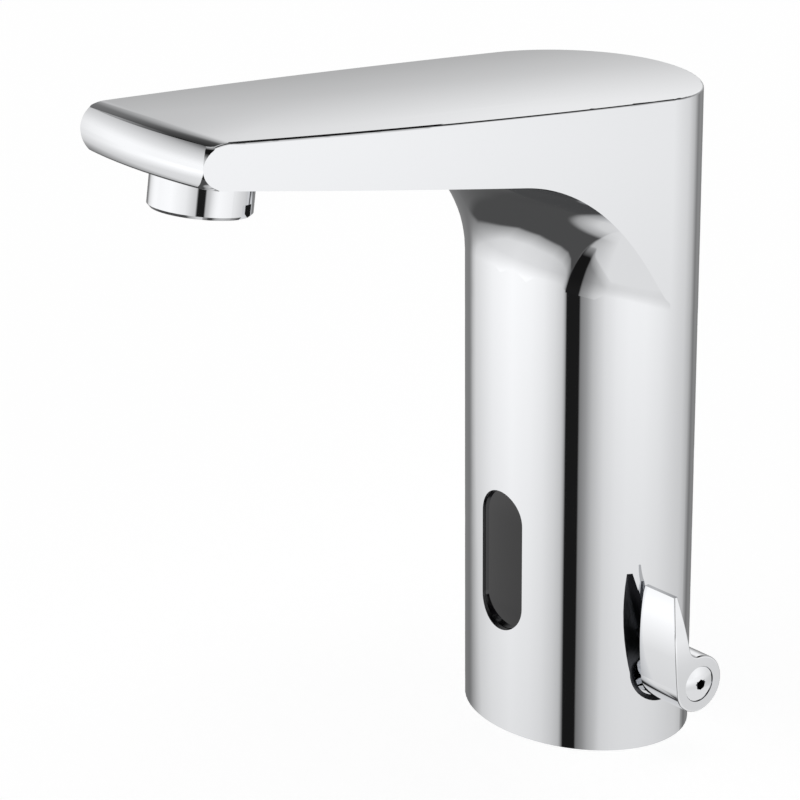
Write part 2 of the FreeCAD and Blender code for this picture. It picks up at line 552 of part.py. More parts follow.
inlet_seals = [turned(f"inlet_seal_{number}", ring(seal_inner, seal_outer, "0", "dim.ring_section"),
                      (x, y, "dim.base_thickness")) for number, (x, y) in enumerate(inlet_places)]
keep(set_of("inlet_seal_set", inlet_seals), "inlet_seals")


def pierced(name, disc, centre, rings, spacing, radius, length, turn=UPRIGHT):
    """A disc with a hexagon of round holes in it, so many rings of them about the middle one."""
    holes = []
    upward = turn.multVec(Vector(0, 0, 1))
    for column in range(-rings, rings + 1):
        for row in range(-rings, rings + 1):
            if abs(column + row) > rings:
                continue
            offset = turn.multVec(Vector(column + row / 2, row * math.sqrt(3) / 2, 0))
            start = [f"({base}) + {spacing} * {step} - {length} * {lift}"
                     for base, step, lift in zip(centre, offset, upward)]
            holes.append(cylinder(f"{name}_hole_{len(holes)}", radius, f"2 * {length}", start, turn))
    return cut(name, disc, holes)


strainers = []
for number, (x, y) in enumerate(inlet_places):
    seat = (x, y, "dim.base_thickness + dim.ring_section")
    disc = cylinder(f"strainer_disc_{number}", f"{seal_inner} - dim.slip", "dim.strainer_thickness", seat)
    strainers.append(pierced(f"strainer_{number}", disc, seat, 2, "dim.strainer_pitch", "dim.strainer_hole",
                             "dim.strainer_thickness"))
keep(set_of("strainer_set", strainers), "inlet_strainers")

fixed_front = "(dim.chamber_back + dim.disc_thickness)"
moving_front = f"({fixed_front} + dim.moving_disc_thickness)"
spindle_shoulder = f"({moving_front} + dim.spindle_flange)"
fixed_ports = [cylinder(f"fixed_port_{sign}", "dim.port_radius", "dim.disc_thickness",
                        ("dim.chamber_back", f"{sign} * dim.port_offset", "dim.lever_height"), ACROSS)
               for sign in ("1", "-1")]
seat_disc = across("ceramic_seat_disc", rod("dim.chamber_radius - dim.slip", "dim.chamber_back", fixed_front))
keep(cut("ceramic_seat", seat_disc, fixed_ports), "fixed_disc")
mixing_port = cylinder("mixing_port", "dim.port_radius", "dim.moving_disc_thickness",
                       (fixed_front, "0", "dim.lever_height + dim.port_offset"), ACROSS)
rotor_disc = across("ceramic_rotor_disc", rod("dim.chamber_radius - dim.turn_gap", fixed_front, moving_front))
keep(cut("ceramic_rotor", rotor_disc, [mixing_port]), "moving_disc")
spindle_blank = across("spindle_blank", [
    ("0", moving_front), ("dim.chamber_radius - dim.turn_gap", moving_front),
    ("dim.chamber_radius - dim.turn_gap", spindle_shoulder), ("dim.spindle_radius", spindle_shoulder),
    ("dim.spindle_radius", "dim.spindle_end"), ("0", "dim.spindle_end")])
spindle_slot = box("spindle_slot", ("dim.slot_depth", "dim.slot_width", "2 * dim.spindle_radius"),
                   ("dim.spindle_end - dim.slot_depth", "-dim.slot_width / 2",
                    "dim.lever_height - dim.spindle_radius"))
flow_port = cylinder("flow_port", "dim.port_radius", "dim.spindle_flange",
                     (moving_front, "0", "dim.lever_height + dim.port_offset"), ACROSS)
keep(cut("spindle", spindle_blank, [spindle_slot, flow_port]), "mixing_spindle")
bearing = "(dim.spindle_radius + dim.running_fit)"
cap_start = "(dim.valve_front - dim.cap_spigot)"
cap_end = "(dim.valve_front + dim.cap_thickness)"
keep(across("cap", [(bearing, cap_start), ("dim.chamber_radius - dim.slip", cap_start),
                    ("dim.chamber_radius - dim.slip", "dim.valve_front"), ("dim.cap_radius", "dim.valve_front"),
                    ("dim.cap_radius", cap_end), (bearing, cap_end)]), "valve_cap")

# Lever and its shaft: the shaft's tongue sits in the spindle's slot, a bush in the column's side carries it,
# and the lever is held on its square end by a domed socket screw.
bush_end = "(dim.recess_flat + dim.bush_flange)"
keep(across("bush", [(bearing, "dim.bush_inner"), ("dim.bush_radius", "dim.bush_inner"),
                     ("dim.bush_radius", "dim.recess_flat"), ("dim.bush_flange_radius", "dim.recess_flat"),
                     ("dim.bush_flange_radius", bush_end), (bearing, bush_end)]), "spindle_bush")
groove_floor = "(dim.spindle_radius - dim.seal_groove)"
groove_end = "(dim.seal_groove_x + dim.seal_groove_width)"
shaft_start = "(dim.spindle_end + dim.slip)"
shaft_rod = across("shaft_rod", [
    ("0", shaft_start), ("dim.spindle_radius", shaft_start), ("dim.spindle_radius", "dim.seal_groove_x"),
    (groove_floor, "dim.seal_groove_x"), (groove_floor, groove_end), ("dim.spindle_radius", groove_end),
    ("dim.spindle_radius", "dim.lever_inner"), ("0", "dim.lever_inner")])
tongue_width = "(dim.slot_width - 2 * dim.slip)"
tongue = box("shaft_tongue", ("dim.slot_depth", tongue_width, "dim.tongue_height"),
             ("dim.spindle_end - dim.slot_depth + dim.slip", f"-{tongue_width} / 2",
              "dim.lever_height - dim.tongue_height / 2"))
shaft_drive = box("shaft_drive", ("dim.drive_depth - dim.slip", "dim.drive_size", "dim.drive_size"),
                  ("dim.lever_inner", "-dim.drive_size / 2", "dim.lever_height - dim.drive_size / 2"))
seat_x = "(dim.lever_outer - dim.lever_seat_depth)"
screw_end = f"({seat_x} - dim.lever_screw_length)"
shaft_hole = across("shaft_hole", rod("dim.lever_screw_radius + dim.slip", screw_end, "dim.lever_outer"))
keep(cut("shaft", fuse("shaft_blank", [shaft_rod, tongue, shaft_drive]), [shaft_hole]), "lever_shaft")
shaft_ring = across("shaft_ring", ring(groove_floor, "dim.spindle_radius", "dim.seal_groove_x", groove_end))
keep(shaft_ring, "shaft_seal")


def lever_blank():
    """Fin-shaped lever: round hub, bowed front edge, straight back edge, thinner across towards its tip."""
    hub, length = value("dim.lever_hub_radius"), value("dim.lever_length")
    inner, outer = value("dim.lever_inner"), value("dim.lever_outer")
    tip_outer = value("dim.lever_tip_outer")
    back = math.radians(value("dim.lever_back_angle"))
    front_foot = Vector(0, -hub, 0)
    front_tip = Vector(0, -value("dim.lever_lean"), length)
    back_tip = front_tip + Vector(0, value("dim.lever_tip"), 0)
    back_foot = Vector(0, -hub * math.sin(back), hub * math.cos(back))
    opposite = Vector(0, hub * math.cos(back / 2), -hub * math.sin(back / 2))
    bulge = Vector(0, -hub / 2 - value("dim.lever_lean") / 2 - value("dim.lever_bulge"), length / 2)
    edges = [Part.Arc(front_foot, bulge, front_tip).toShape(), Part.makeLine(front_tip, back_tip),
             Part.makeLine(back_tip, back_foot), Part.Arc(back_foot, opposite, front_foot).toShape()]
    fin = Part.Face(Part.Wire(Part.__sortEdges__(edges)))
    fin.translate(Vector(inner, 0, 0))
    fin = fin.extrude(Vector(outer - inner, 0, 0))
    heel = back_foot + Vector((inner + outer) / 2, 0, 0)
    heel_edge = min(fin.Edges, key=lambda edge: edge.CenterOfMass.distanceToPoint(heel))
    fin = fin.makeFillet(value("dim.lever_heel"), [heel_edge])
    bend = Vector(outer, -length, hub / 2)
    corners = [bend, Vector(outer, -length, -length), Vector(inner, -length, -length),
               Vector(inner, -length, length), Vector(tip_outer, -length, length)]
    sides = [Part.makeLine(start, end) for start, end in zip(corners, corners[1:])]
    sides.append(tangent_arc(bend, Vector(0, 0, 1), corners[-1]).toShape())
    slope = Part.Face(Part.Wire(Part.__sortEdges__(sides))).extrude(Vector(0, 2 * length, 0))
    fin = fin.common(slope)
    rim = [edge for edge in fin.Edges if edge.BoundBox.XMin > tip_outer - 0.01 and edge.BoundBox.ZLength > 0.01]
    fin = fin.makeFillet(value("dim.lever_edge"), rim)
    fin.translate(Vector(0, 0, value("dim.lever_height")))
    return fin


lever_body = doc.addObject("Part::Feature", "lever_blank")
lever_body.Shape = lever_blank()
drive_socket_size = "(dim.drive_size + 2 * dim.slip)"
drive_socket = box("drive_socket", ("dim.drive_depth", drive_socket_size, drive_socket_size),
                   ("dim.lever_inner", f"-{drive_socket_size} / 2",
                    f"dim.lever_height - {drive_socket_size} / 2"))
screw_seat = across("screw_seat", rod("dim.lever_seat_radius", seat_x, "dim.lever_outer + dim.slip"))
screw_way = across("screw_way", rod("dim.lever_screw_radius + dim.slip", "dim.lever_inner", seat_x))
keep(cut("lever", lever_body, [drive_socket, screw_seat, screw_way]), "mixing_lever")

head_end = "(dim.lever_outer + dim.lever_head_proud)"
dome_radius = "((dim.lever_head_radius ^ 2 + dim.lever_dome ^ 2) / (2 * dim.lever_dome))"
head_rod = across("head_rod", rod("dim.lever_head_radius", seat_x, head_end))
dome = place(bind(doc.addObject("Part::Sphere", "dome"), Radius=dome_radius),
             (f"{head_end} - {dome_radius}", "0", "dim.lever_height"))
shank = across("shank", rod("dim.lever_screw_radius", f"{screw_end} + dim.slip", seat_x))
socket = doc.addObject("Part::Prism", "hex_socket")
socket.Polygon = 6
bind(socket, Circumradius="dim.hex_radius", Height="dim.hex_depth")
place(socket, (f"{head_end} - dim.hex_depth", "0", "dim.lever_height"), ACROSS)
screw_blank = fuse("screw_blank", [common("screw_head", head_rod, dome), shank])
keep(cut("screw", screw_blank, [socket]), "lever_screw")

# Solenoid valve: stands on the mixing valve. Water enters under the diaphragm, and leaves through the seat in
# the middle when the plunger lifts; a passage takes it back to the riser.
solenoid_top = "(dim.valve_top + dim.solenoid_height)"
chamber_floor = f"({solenoid_top} - dim.pilot_depth)"
seat_top = f"({chamber_floor} + dim.seat_height)"
diaphragm_top = f"({seat_top} + dim.diaphragm_thickness)"
solenoid_base = ("dim.solenoid_x", "0", "0")


def stacked(name, corners):
    """A turned piece on the solenoid's upright axis."""
    return turned(name, corners, solenoid_base)


solenoid_block = box("solenoid_block", ("2 * dim.solenoid_half_width", "2 * dim.solenoid_half_depth",
                                        "dim.solenoid_height"),
                     ("dim.solenoid_x - dim.solenoid_half_width", "-dim.solenoid_half_depth", "dim.valve_top"))
riser_boss = cylinder("riser_boss", "dim.riser_boss_radius", "dim.solenoid_height",
                      ("dim.solenoid_x", "dim.riser_y", "dim.valve_top"))
riser_bridge = box("riser_bridge", ("2 * dim.riser_boss_radius", "dim.riser_y", "dim.solenoid_height"),
                   ("dim.solenoid_x - dim.riser_boss_radius", "0", "dim.valve_top"))
outlet_seal_inner = "(dim.outlet_radius + dim.seal_groove)"
outlet_seal_outer = f"({outlet_seal_inner} + dim.ring_section)"
outlet_place = ("dim.outlet_x", "0", "dim.valve_top")
seat_outside = "dim.seat_radius + dim.seat_wall"
passage_end = ("dim.solenoid_x", "dim.riser_y", "dim.passage_height")
solenoid_tools = [
    stacked("pilot_chamber", [(seat_outside, chamber_floor), ("dim.pilot_radius", chamber_floor),
                              ("dim.pilot_radius", solenoid_top), ("0", solenoid_top), ("0", seat_top),
                              (seat_outside, seat_top)]),
    stacked("seat_bore", rod("dim.seat_radius", "dim.passage_height", seat_top)),
    cylinder("passage", "dim.passage_radius", "dim.riser_y", passage_end, FORWARD),
    cylinder("riser_foot", "dim.riser_bore", "dim.riser_rise", passage_end),
    cylinder("riser_seat", "dim.riser_radius + dim.slip", f"{solenoid_top} - dim.riser_start",
             ("dim.solenoid_x", "dim.riser_y", "dim.riser_start")),
    cylinder("solenoid_inlet", "dim.outlet_radius", f"{chamber_floor} - dim.valve_top", outlet_place),
    turned("outlet_seal_groove", ring(f"{outlet_seal_inner} - dim.slip", f"{outlet_seal_outer} + dim.slip", "0",
                                      "dim.ring_section"), outlet_place)]
for number, (x, y) in enumerate(guide_screw_places):
    solenoid_tools.append(cylinder(f"solenoid_hole_{number}", "dim.guide_screw_radius + dim.slip",
                                   "dim.solenoid_height", (x, y, "dim.valve_top")))
keep(cut("solenoid", fuse("solenoid_blank", [solenoid_block, riser_boss, riser_bridge]), solenoid_tools),
     "solenoid_body")
keep(turned("outlet_seal", ring(outlet_seal_inner, outlet_seal_outer, "0", "dim.ring_section"), outlet_place),
     "solenoid_seal")
keep(stacked("membrane", rod("dim.pilot_radius - dim.slip", seat_top, diaphragm_top)), "diaphragm")

plate_top = f"({solenoid_top} + dim.guide_plate)"
bore_top = "(dim.guide_top - dim.guide_roof)"
guide_half_depth = "(dim.solenoid_half_depth - 3 * dim.turn_gap)"
guide_blank = fuse("guide_blank", [
    box("guide_flange", ("2 * dim.solenoid_half_width", f"2 * {guide_half_depth}", "dim.guide_plate"),
        ("dim.solenoid_x - dim.solenoid_half_width", f"-{guide_half_depth}", solenoid_top)),
    stacked("guide_spigot", ring("dim.pilot_radius - dim.spigot_wall", "dim.pilot_radius - dim.slip",
                                 diaphragm_top, solenoid_top)),
    stacked("guide_tube", rod("dim.guide_radius", plate_top, "dim.guide_top"))])
guide_tools = [stacked("plunger_bore", rod("dim.plunger_radius + dim.running_fit", solenoid_top, bore_top))]
for number, (x, y) in enumerate(guide_screw_places):
    guide_tools.append(cylinder(f"guide_hole_{number}", "dim.guide_screw_radius + dim.slip", "dim.guide_plate",
                                (x, y, solenoid_top)))
keep(cut("guide", guide_blank, guide_tools), "solenoid_guide")
guide_screw = [("0", f"{plate_top} + dim.sensor_head_height"),
               ("dim.guide_head_radius", f"{plate_top} + dim.sensor_head_height"),
               ("dim.guide_head_radius", plate_top), ("dim.guide_screw_radius", plate_top),
               ("dim.guide_screw_radius", "dim.valve_top - dim.guide_screw_length + dim.slip"),
               ("0", "dim.valve_top - dim.guide_screw_length + dim.slip")]
keep(set_of("guide_screws", [turned(f"guide_screw_{number}", guide_screw, (x, y, "0"))
                             for number, (x, y) in enumerate(guide_screw_places)]), "solenoid_screws")
coil_end = f"({plate_top} + dim.coil_length)"
keep(stacked("winding", ring("dim.guide_radius + dim.slip", "dim.coil_radius", plate_top, coil_end)),
     "solenoid_coil")
keep(stacked("winding_nut", ring("dim.guide_radius + dim.slip", "dim.coil_nut_radius", coil_end,
                                 f"{coil_end} + dim.coil_nut_length")), "coil_nut")
pad_top = f"({diaphragm_top} + dim.plunger_pad)"
plunger_top = f"({pad_top} + dim.plunger_length)"
keep(stacked("pilot_pad", rod("dim.plunger_radius / 2", diaphragm_top, pad_top)), "plunger_pad")
keep(stacked("armature", rod("dim.plunger_radius", pad_top, plunger_top)), "plunger")
spring_outer = "dim.plunger_radius - dim.spring_wall"
spring_section = ring(f"{spring_outer} - dim.spring_wall", spring_outer, plunger_top, bore_top)
keep(stacked("return_spring", spring_section), "plunger_spring")

# Riser: a tube from the solenoid valve up to the cast duct, sealed at both ends.
riser_place = ("dim.solenoid_x", "dim.riser_y", "0")
riser_end = "(dim.cavity_height + dim.riser_socket_depth)"
riser_section = ring("dim.riser_bore", "dim.riser_radius", "dim.riser_start", riser_end)
keep(turned("riser", riser_section, riser_place), "riser_tube")
riser_rings = []
for word, low in (("low", solenoid_top), ("high", "dim.cavity_height - dim.ring_section")):
    ring_section = ring("dim.riser_radius + dim.slip", "dim.riser_radius + dim.ring_section", low,
                        f"{low} + dim.ring_section")
    riser_rings.append(turned(f"riser_ring_{word}", ring_section, riser_place))
keep(set_of("riser_rings", riser_rings), "riser_seals")

# Sensor: window and gasket in the column's stepped opening, held there by the housing that is screwed to the
# pad behind it. The board with its emitter and receiver lies in the back of the housing.
gasket_back = f"({ledge} - dim.gasket_thickness)"
flange_back = f"({gasket_back} - dim.flange_thickness)"
plate_half_width = "(dim.window_width / 2 - dim.slip)"
plate_half_length = "(dim.window_length / 2 - dim.slip)"
seated_half_width = f"({flange_half_width} - dim.slip)"
seated_half_length = f"({flange_half_length} - dim.slip)"
keep(fuse("window", [
    rounded_slot("window_front", plate_half_width, plate_half_length, f"-{window_face}",
                 f"{window_face} - {gasket_back}"),
    rounded_slot("window_flange", seated_half_width, seated_half_length, f"-{gasket_back}",
                 "dim.flange_thickness")]), "sensor_window")
keep(cut("gasket", rounded_slot("gasket_outer", seated_half_width, seated_half_length, f"-{ledge}",
                                "dim.gasket_thickness"),
         [rounded_slot("gasket_inner", "dim.window_width / 2", "dim.window_length / 2", f"-{ledge}",
                       "dim.gasket_thickness")]), "window_gasket")
ear_half_length = f"({flange_half_length} + dim.ear_length)"
housing_shell = fuse("housing_shell", [
    rounded_slot("housing_cup", seated_half_width, seated_half_length, f"-{flange_back}",
                 f"{flange_back} - dim.housing_back"),
    box("housing_ears", (f"{flange_half_width}", "dim.ear_thickness", f"2 * {ear_half_length}"),
        (f"-{flange_half_width} / 2", "-dim.pad_face", f"dim.window_height - {ear_half_length}"))])
cup_half_width = f"({seated_half_width} - dim.housing_wall)"
cup_half_length = f"({seated_half_length} - dim.housing_wall)"
cup_back = "(dim.housing_back + dim.housing_wall)"
housing_tools = [rounded_slot("housing_inside", cup_half_width, cup_half_length, f"-{flange_back}",
                              f"{flange_back} - {cup_back}")]
for sign in ("1", "-1"):
    ear_place = ("0", "-dim.pad_face + 1.5 * dim.ear_thickness",
                 f"dim.window_height + {sign} * {sensor_screw_rise}")
    housing_tools.append(cylinder(f"ear_hole_{sign}", "dim.sensor_screw_radius + dim.slip",
                                  "2 * dim.ear_thickness", ear_place, FORWARD))
keep(cut("housing", housing_shell, housing_tools), "sensor_housing")
board_face = f"({cup_back} + dim.board_thickness)"
keep(rounded_slot("board", f"{cup_half_width} - dim.slip", f"{cup_half_length} - dim.slip", f"-{board_face}",
                  "dim.board_thickness"), "sensor_board")
diode_length = f"{flange_back} - {board_face} - dim.turn_gap"
for label, sign in (("infrared_emitter", "1"), ("infrared_receiver", "-1")):
    diode_place = ("0", f"-{board_face}", f"dim.window_height + {sign} * dim.diode_spacing / 2")
    keep(cylinder(f"diode_{sign}", "dim.diode_radius", diode_length, diode_place, FORWARD), label)
small_screw = [("0", "-dim.sensor_head_height"), ("dim.sensor_head_radius", "-dim.sensor_head_height"),
               ("dim.sensor_head_radius", "0"), ("dim.sensor_screw_radius", "0"),
               ("dim.sensor_screw_radius", "dim.ear_thickness + dim.sensor_screw_depth - dim.slip"),
               ("0", "dim.ear_thickness + dim.sensor_screw_depth - dim.slip")]
keep(set_of("ear_screws", [turned(f"ear_screw_{sign}", small_screw,
                                  ("0", "-dim.pad_face + dim.ear_thickness",
                                   f"dim.window_height + {sign} * {sensor_screw_rise}"), FORWARD)
                           for sign in ("1", "-1")]), "sensor_screws")

# Battery: a two-cell pack on a hanging tray, screwed up into the column's roof.
tray_half_width = "(dim.battery_width / 2 + dim.tray_wall)"
battery_front = "(dim.battery_y - dim.battery_depth / 2)"
battery_back = "(dim.battery_y + dim.battery_depth / 2)"
tray_depth = "(dim.battery_depth + dim.tray_wall)"
hanger = "(dim.cavity_height - dim.tray_wall)"
tray_blank = fuse("tray_blank", [
    box("tray_shelf", (f"2 * {tray_half_width}", tray_depth, "dim.tray_wall"),
        (f"-{tray_half_width}", battery_front, "dim.battery_shelf")),
    box("tray_hanger", (f"2 * {tray_half_width}", tray_depth, "dim.tray_wall"),
        (f"-{tray_half_width}", battery_front, hanger)),
    box("tray_back", (f"2 * {tray_half_width}", "dim.tray_wall", "dim.cavity_height - dim.battery_shelf"),
        (f"-{tray_half_width}", battery_back, "dim.battery_shelf"))])
tray_holes = [cylinder(f"tray_hole_{number}", "dim.sensor_screw_radius + dim.slip", "dim.tray_wall",
                       (x, "dim.battery_y", hanger)) for number, x in enumerate(tray_screw_places)]
keep(cut("tray", tray_blank, tray_holes), "battery_tray")
cell_x = "(dim.battery_width / 2 - dim.battery_depth / 2)"
battery_foot = "dim.battery_shelf + dim.tray_wall"
cells = [cylinder(f"cell_{sign}", "dim.battery_depth / 2 - dim.slip", "dim.battery_length",
                  (f"{sign} * {cell_x}", "dim.battery_y", battery_foot)) for sign in ("1", "-1")]
between = box("between_cells", (f"2 * {cell_x}", "dim.battery_depth - 2 * dim.slip", "dim.battery_length"),
              (f"-{cell_x}", f"{battery_front} + dim.slip", battery_foot))
keep(fuse("battery", cells + [between]), "battery_pack")
tray_screw = [("0", "-dim.sensor_head_height"), ("dim.sensor_head_radius", "-dim.sensor_head_height"),
              ("dim.sensor_head_radius", "0"), ("dim.sensor_screw_radius", "0"),
              ("dim.sensor_screw_radius", "dim.tray_wall + dim.tray_screw_depth - dim.slip"),
              ("0", "dim.tray_wall + dim.tray_screw_depth - dim.slip")]
keep(set_of("hanger_screws", [turned(f"hanger_screw_{number}", tray_screw, (x, "dim.battery_y", hanger))
                              for number, x in enumerate(tray_screw_places)]), "tray_screws")


# Aerator: a collar screwed into the spout's underside and square to it, with a cellular core, a screen and a
# washer inside.
def outlet(name, corners):
    """A turned piece on the outlet's axis, its half section given as radius and height above the underside."""
    return turned(name, corners, outlet_base, spout_turn)


core_floor = "(dim.aerator_lip - dim.aerator_drop)"
core_top = "(dim.aerator_thread_length - dim.screen_thickness - dim.slip)"
collar_blank = outlet("collar_blank", [
    ("dim.aerator_lip_radius", "-dim.aerator_drop"),
    ("dim.aerator_radius - dim.aerator_rounding", "-dim.aerator_drop"),
    ("dim.aerator_radius", "dim.aerator_rounding - dim.aerator_drop"), ("dim.aerator_radius", "0"),
    ("dim.aerator_thread_radius", "0"), ("dim.aerator_thread_radius", "dim.aerator_thread_length"),
    ("dim.aerator_core_radius + dim.slip", "dim.aerator_thread_length"),
    ("dim.aerator_core_radius + dim.slip", core_floor), ("dim.aerator_lip_radius", core_floor)])
notch_turn = spout_turn * Rotation(Vector(0, 0, 1), value("dim.notch_angle"))
notches = []
for sign in ("1", "-1"):
    corner = [value(f"{sign} * (dim.aerator_radius - dim.notch_depth / 2) - dim.notch_depth / 2"),
              value("-dim.notch_width / 2"), value("-dim.aerator_drop")]
    shift = notch_turn.multVec(Vector(*corner))
    notches.append(box(f"notch_{sign}", ("dim.notch_depth", "dim.notch_width", "dim.notch_height"),
                       [f"({base}) + {step}" for base, step in zip(outlet_base, shift)], notch_turn))
keep(cut("collar", collar_blank, notches), "aerator_collar")
core_disc = outlet("core_disc", rod("dim.aerator_core_radius", core_floor, core_top))
keep(pierced("core", core_disc, outlet_base, 3, "dim.cell_spacing", "dim.cell_radius", "dim.aerator_drop",
             spout_turn), "aerator_core")
screen_top = f"({core_top} + dim.screen_thickness)"
screen_disc = outlet("screen_disc", rod("dim.aerator_core_radius", core_top, screen_top))
keep(pierced("screen", screen_disc, outlet_base, 2, "dim.screen_pitch", "dim.screen_hole", "dim.aerator_drop",
             spout_turn), "aerator_screen")
keep(outlet("outlet_washer", ring("dim.washer_bore", "dim.aerator_thread_radius", "dim.aerator_thread_length",
                                  outlet_depth)), "aerator_washer")

doc.recompute()
for item in doc.Objects:
    if "Invalid" in item.State or "Error" in item.State:
        raise RuntimeError(f"{item.Name} failed: {item.State}")
for piece in nodes:
    if piece.Shape.isNull() or not piece.Shape.isValid() or not piece.Shape.Solids:
        raise RuntimeError(f"{piece.Label} has no valid shape")
os.makedirs("parts", exist_ok=True)
for piece in nodes:
    piece.Shape.exportStep(f"parts/{piece.Label}.step")
    print(piece.Label, len(piece.Shape.Solids), round(piece.Shape.Volume, 1))
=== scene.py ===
import math

import bmesh
import bpy
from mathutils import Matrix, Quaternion, Vector


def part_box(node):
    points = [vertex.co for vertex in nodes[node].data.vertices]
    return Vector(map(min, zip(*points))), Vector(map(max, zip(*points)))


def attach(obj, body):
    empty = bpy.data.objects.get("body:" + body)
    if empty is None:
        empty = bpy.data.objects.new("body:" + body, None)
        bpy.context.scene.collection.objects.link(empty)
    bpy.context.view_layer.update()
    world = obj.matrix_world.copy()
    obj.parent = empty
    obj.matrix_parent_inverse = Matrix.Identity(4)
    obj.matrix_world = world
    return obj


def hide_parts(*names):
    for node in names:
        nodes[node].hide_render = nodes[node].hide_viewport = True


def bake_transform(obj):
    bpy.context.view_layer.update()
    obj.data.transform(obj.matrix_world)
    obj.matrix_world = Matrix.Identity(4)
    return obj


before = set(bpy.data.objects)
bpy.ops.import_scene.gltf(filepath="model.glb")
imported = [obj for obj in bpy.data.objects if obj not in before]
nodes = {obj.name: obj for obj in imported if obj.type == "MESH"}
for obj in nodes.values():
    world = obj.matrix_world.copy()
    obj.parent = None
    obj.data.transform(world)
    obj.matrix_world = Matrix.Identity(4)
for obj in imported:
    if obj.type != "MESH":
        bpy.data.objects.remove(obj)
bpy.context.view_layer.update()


# Body casting. The real one is a brass casting, ground, polished and chrome plated: column and spout in one.
# Everything else is screwed into it, so its skin is most of what is seen.
def linear(hex_colour):
    """sRGB hex to linear red, green, blue and full alpha."""
    channels = [int(hex_colour[start:start + 2], 16) / 255 for start in (1, 3, 5)]
    return [part / 12.92 if part <= 0.04045 else ((part + 0.055) / 1.055) ** 2.4 for part in channels] + [1.0]


def add(tree, kind, inputs=None, **settings):
    """A node with its own settings, and its inputs set to values or linked from other nodes' sockets."""
    node = tree.nodes.new(kind)
    for name, content in settings.items():
        setattr(node, name, content)
    for name, content in (inputs or {}).items():
        if isinstance(content, bpy.types.NodeSocket):
            tree.links.new(content, node.inputs[name])
        else:
            node.inputs[name].default_value = content
    return node


def start_material(name):
    """An empty node material, its tree, and the Object coordinates in it, in metres."""
    material = bpy.data.materials.new(name)
    material.use_nodes = True
    tree = material.node_tree
    tree.nodes.clear()
    place = add(tree, "ShaderNodeTexCoord").outputs["Object"]
    return material, tree, place


def end_material(tree, shader):
    add(tree, "ShaderNodeOutputMaterial", {"Surface": shader.outputs[0]})


def dress(material, *names):
    for name in names:
        nodes[name].data.materials.clear()
        nodes[name].data.materials.append(material)


def merged_copy(name, node, body, material, slices=()):
    """A piece in a node's place and shape: its loose triangles are joined, and its shading is kept.
    Slices are places along Y where faces get an extra row of points."""
    touching = 0.000002
    mesh = nodes[node].data.copy()
    mesh.name = name
    kept = mesh.attributes.new("kept_direction", "FLOAT_VECTOR", "CORNER")
    kept.data.foreach_set("vector", [part for corner in mesh.corner_normals for part in corner.vector])
    shape = bmesh.new()
    shape.from_mesh(mesh)
    bmesh.ops.remove_doubles(shape, verts=shape.verts, dist=touching)
    for front in slices:
        everything = shape.verts[:] + shape.edges[:] + shape.faces[:]
        bmesh.ops.bisect_plane(shape, geom=everything, dist=touching, plane_co=(0, front, 0),
                               plane_no=(0, 1, 0))
    shape.to_mesh(mesh)
    shape.free()
    directions = [corner.vector.copy() for corner in mesh.attributes["kept_direction"].data]
    mesh.attributes.remove(mesh.attributes["kept_direction"])
    mesh.shade_smooth()
    mesh.normals_split_custom_set(directions)
    mesh.materials.clear()
    mesh.materials.append(material)
    piece = bpy.data.objects.new(name, mesh)
    bpy.context.scene.collection.objects.link(piece)
    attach(piece, body)
    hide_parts(node)
    dress(material, node)
    return piece


# Chrome plating over polished brass: nearly a mirror. Wiping leaves a faint haze in soft patches about 30 mm
# across, which shows as a slight change in sharpness.
def chrome_plating():
    material, tree, place = start_material("chrome_plating")
    haze_width = 0.030
    haze = add(tree, "ShaderNodeTexNoise", {"Vector": place, "Scale": 1 / haze_width, "Detail": 3.0})
    gloss = add(tree, "ShaderNodeMapRange", {"Value": haze.outputs["Fac"], "From Min": 0.35, "From Max": 0.75,
                                             "To Min": 0.02, "To Max": 0.05})
    shader = add(tree, "ShaderNodeBsdfPrincipled", {
        "Base Color": linear("#E8E9EB"), "Metallic": 1.0, "Roughness": gloss.outputs["Result"]})
    end_material(tree, shader)
    return material


chrome = chrome_plating()
edge_front, roll_length, roll_drop = -0.1358, 0.0045, 0.0009
sliced_length, roll_rows = 1.6 * roll_length, 12
roll_slices = [edge_front + sliced_length * row / roll_rows for row in range(roll_rows)]
skin = merged_copy("casting_skin", "body_casting", "tap", chrome, roll_slices)

# The polished faces are true curves: an oval column, spout sides that are long arcs, a crowned top, a bulging
# nose, and a flare as left by a ball that rolls along column and underside. The skin takes its shading from
# those curves, so that reflections run through them without ripples.
half_width, half_depth = 0.034, 0.0273
side_width, side_narrowing, side_length = 0.03405, 0.009, 0.13605
side_radius = (side_narrowing ** 2 + side_length ** 2) / (2 * side_narrowing)
crest_height, crown, top_rise = 0.1769, 0.0013, math.tan(math.radians(3.85))
crown_radius = (half_width ** 2 + crown ** 2) / (2 * crown)
along_top = Vector((0, -1, top_rise)).normalized()
crown_middle = Vector((0, 0, crest_height)) - Vector((0, top_rise, 1)).normalized() * crown_radius
arm_depth, nose_thickness, spout_length = 0.023, 0.0112, 0.1385
underside_rise = top_rise + (arm_depth - nose_thickness) / spout_length
flare_radius, flare_low, flare_high = 0.033, 0.1, 0.17
nose_lean = (math.atan(top_rise) + math.atan(underside_rise)) / 2
nose_turn = Quaternion((1, 0, 0), -nose_lean)
bow_radius, tip_height, upper_arc, lower_arc = 0.12625, -0.00056, 0.01112, 0.01019
upper_end, lower_end = 0.0058, -0.00465
nose_middle = Vector((0, -spout_length, crest_height + spout_length * top_rise - nose_thickness / 2))
nose_middle += nose_turn @ Vector((0, bow_radius, 0))
# A face belongs to a curve when its corners lie this close to it, and it looks about the same way.
fit, oval_fit, nose_fit, same_way = 0.00006, 0.006, 0.00024, 0.95


def column_wall(point):
    level = (point.x / half_width) ** 2 + (point.y / half_depth) ** 2
    if abs(level - 1) < oval_fit:
        return Vector((point.x / half_width ** 2, point.y / half_depth ** 2, 0)).normalized()


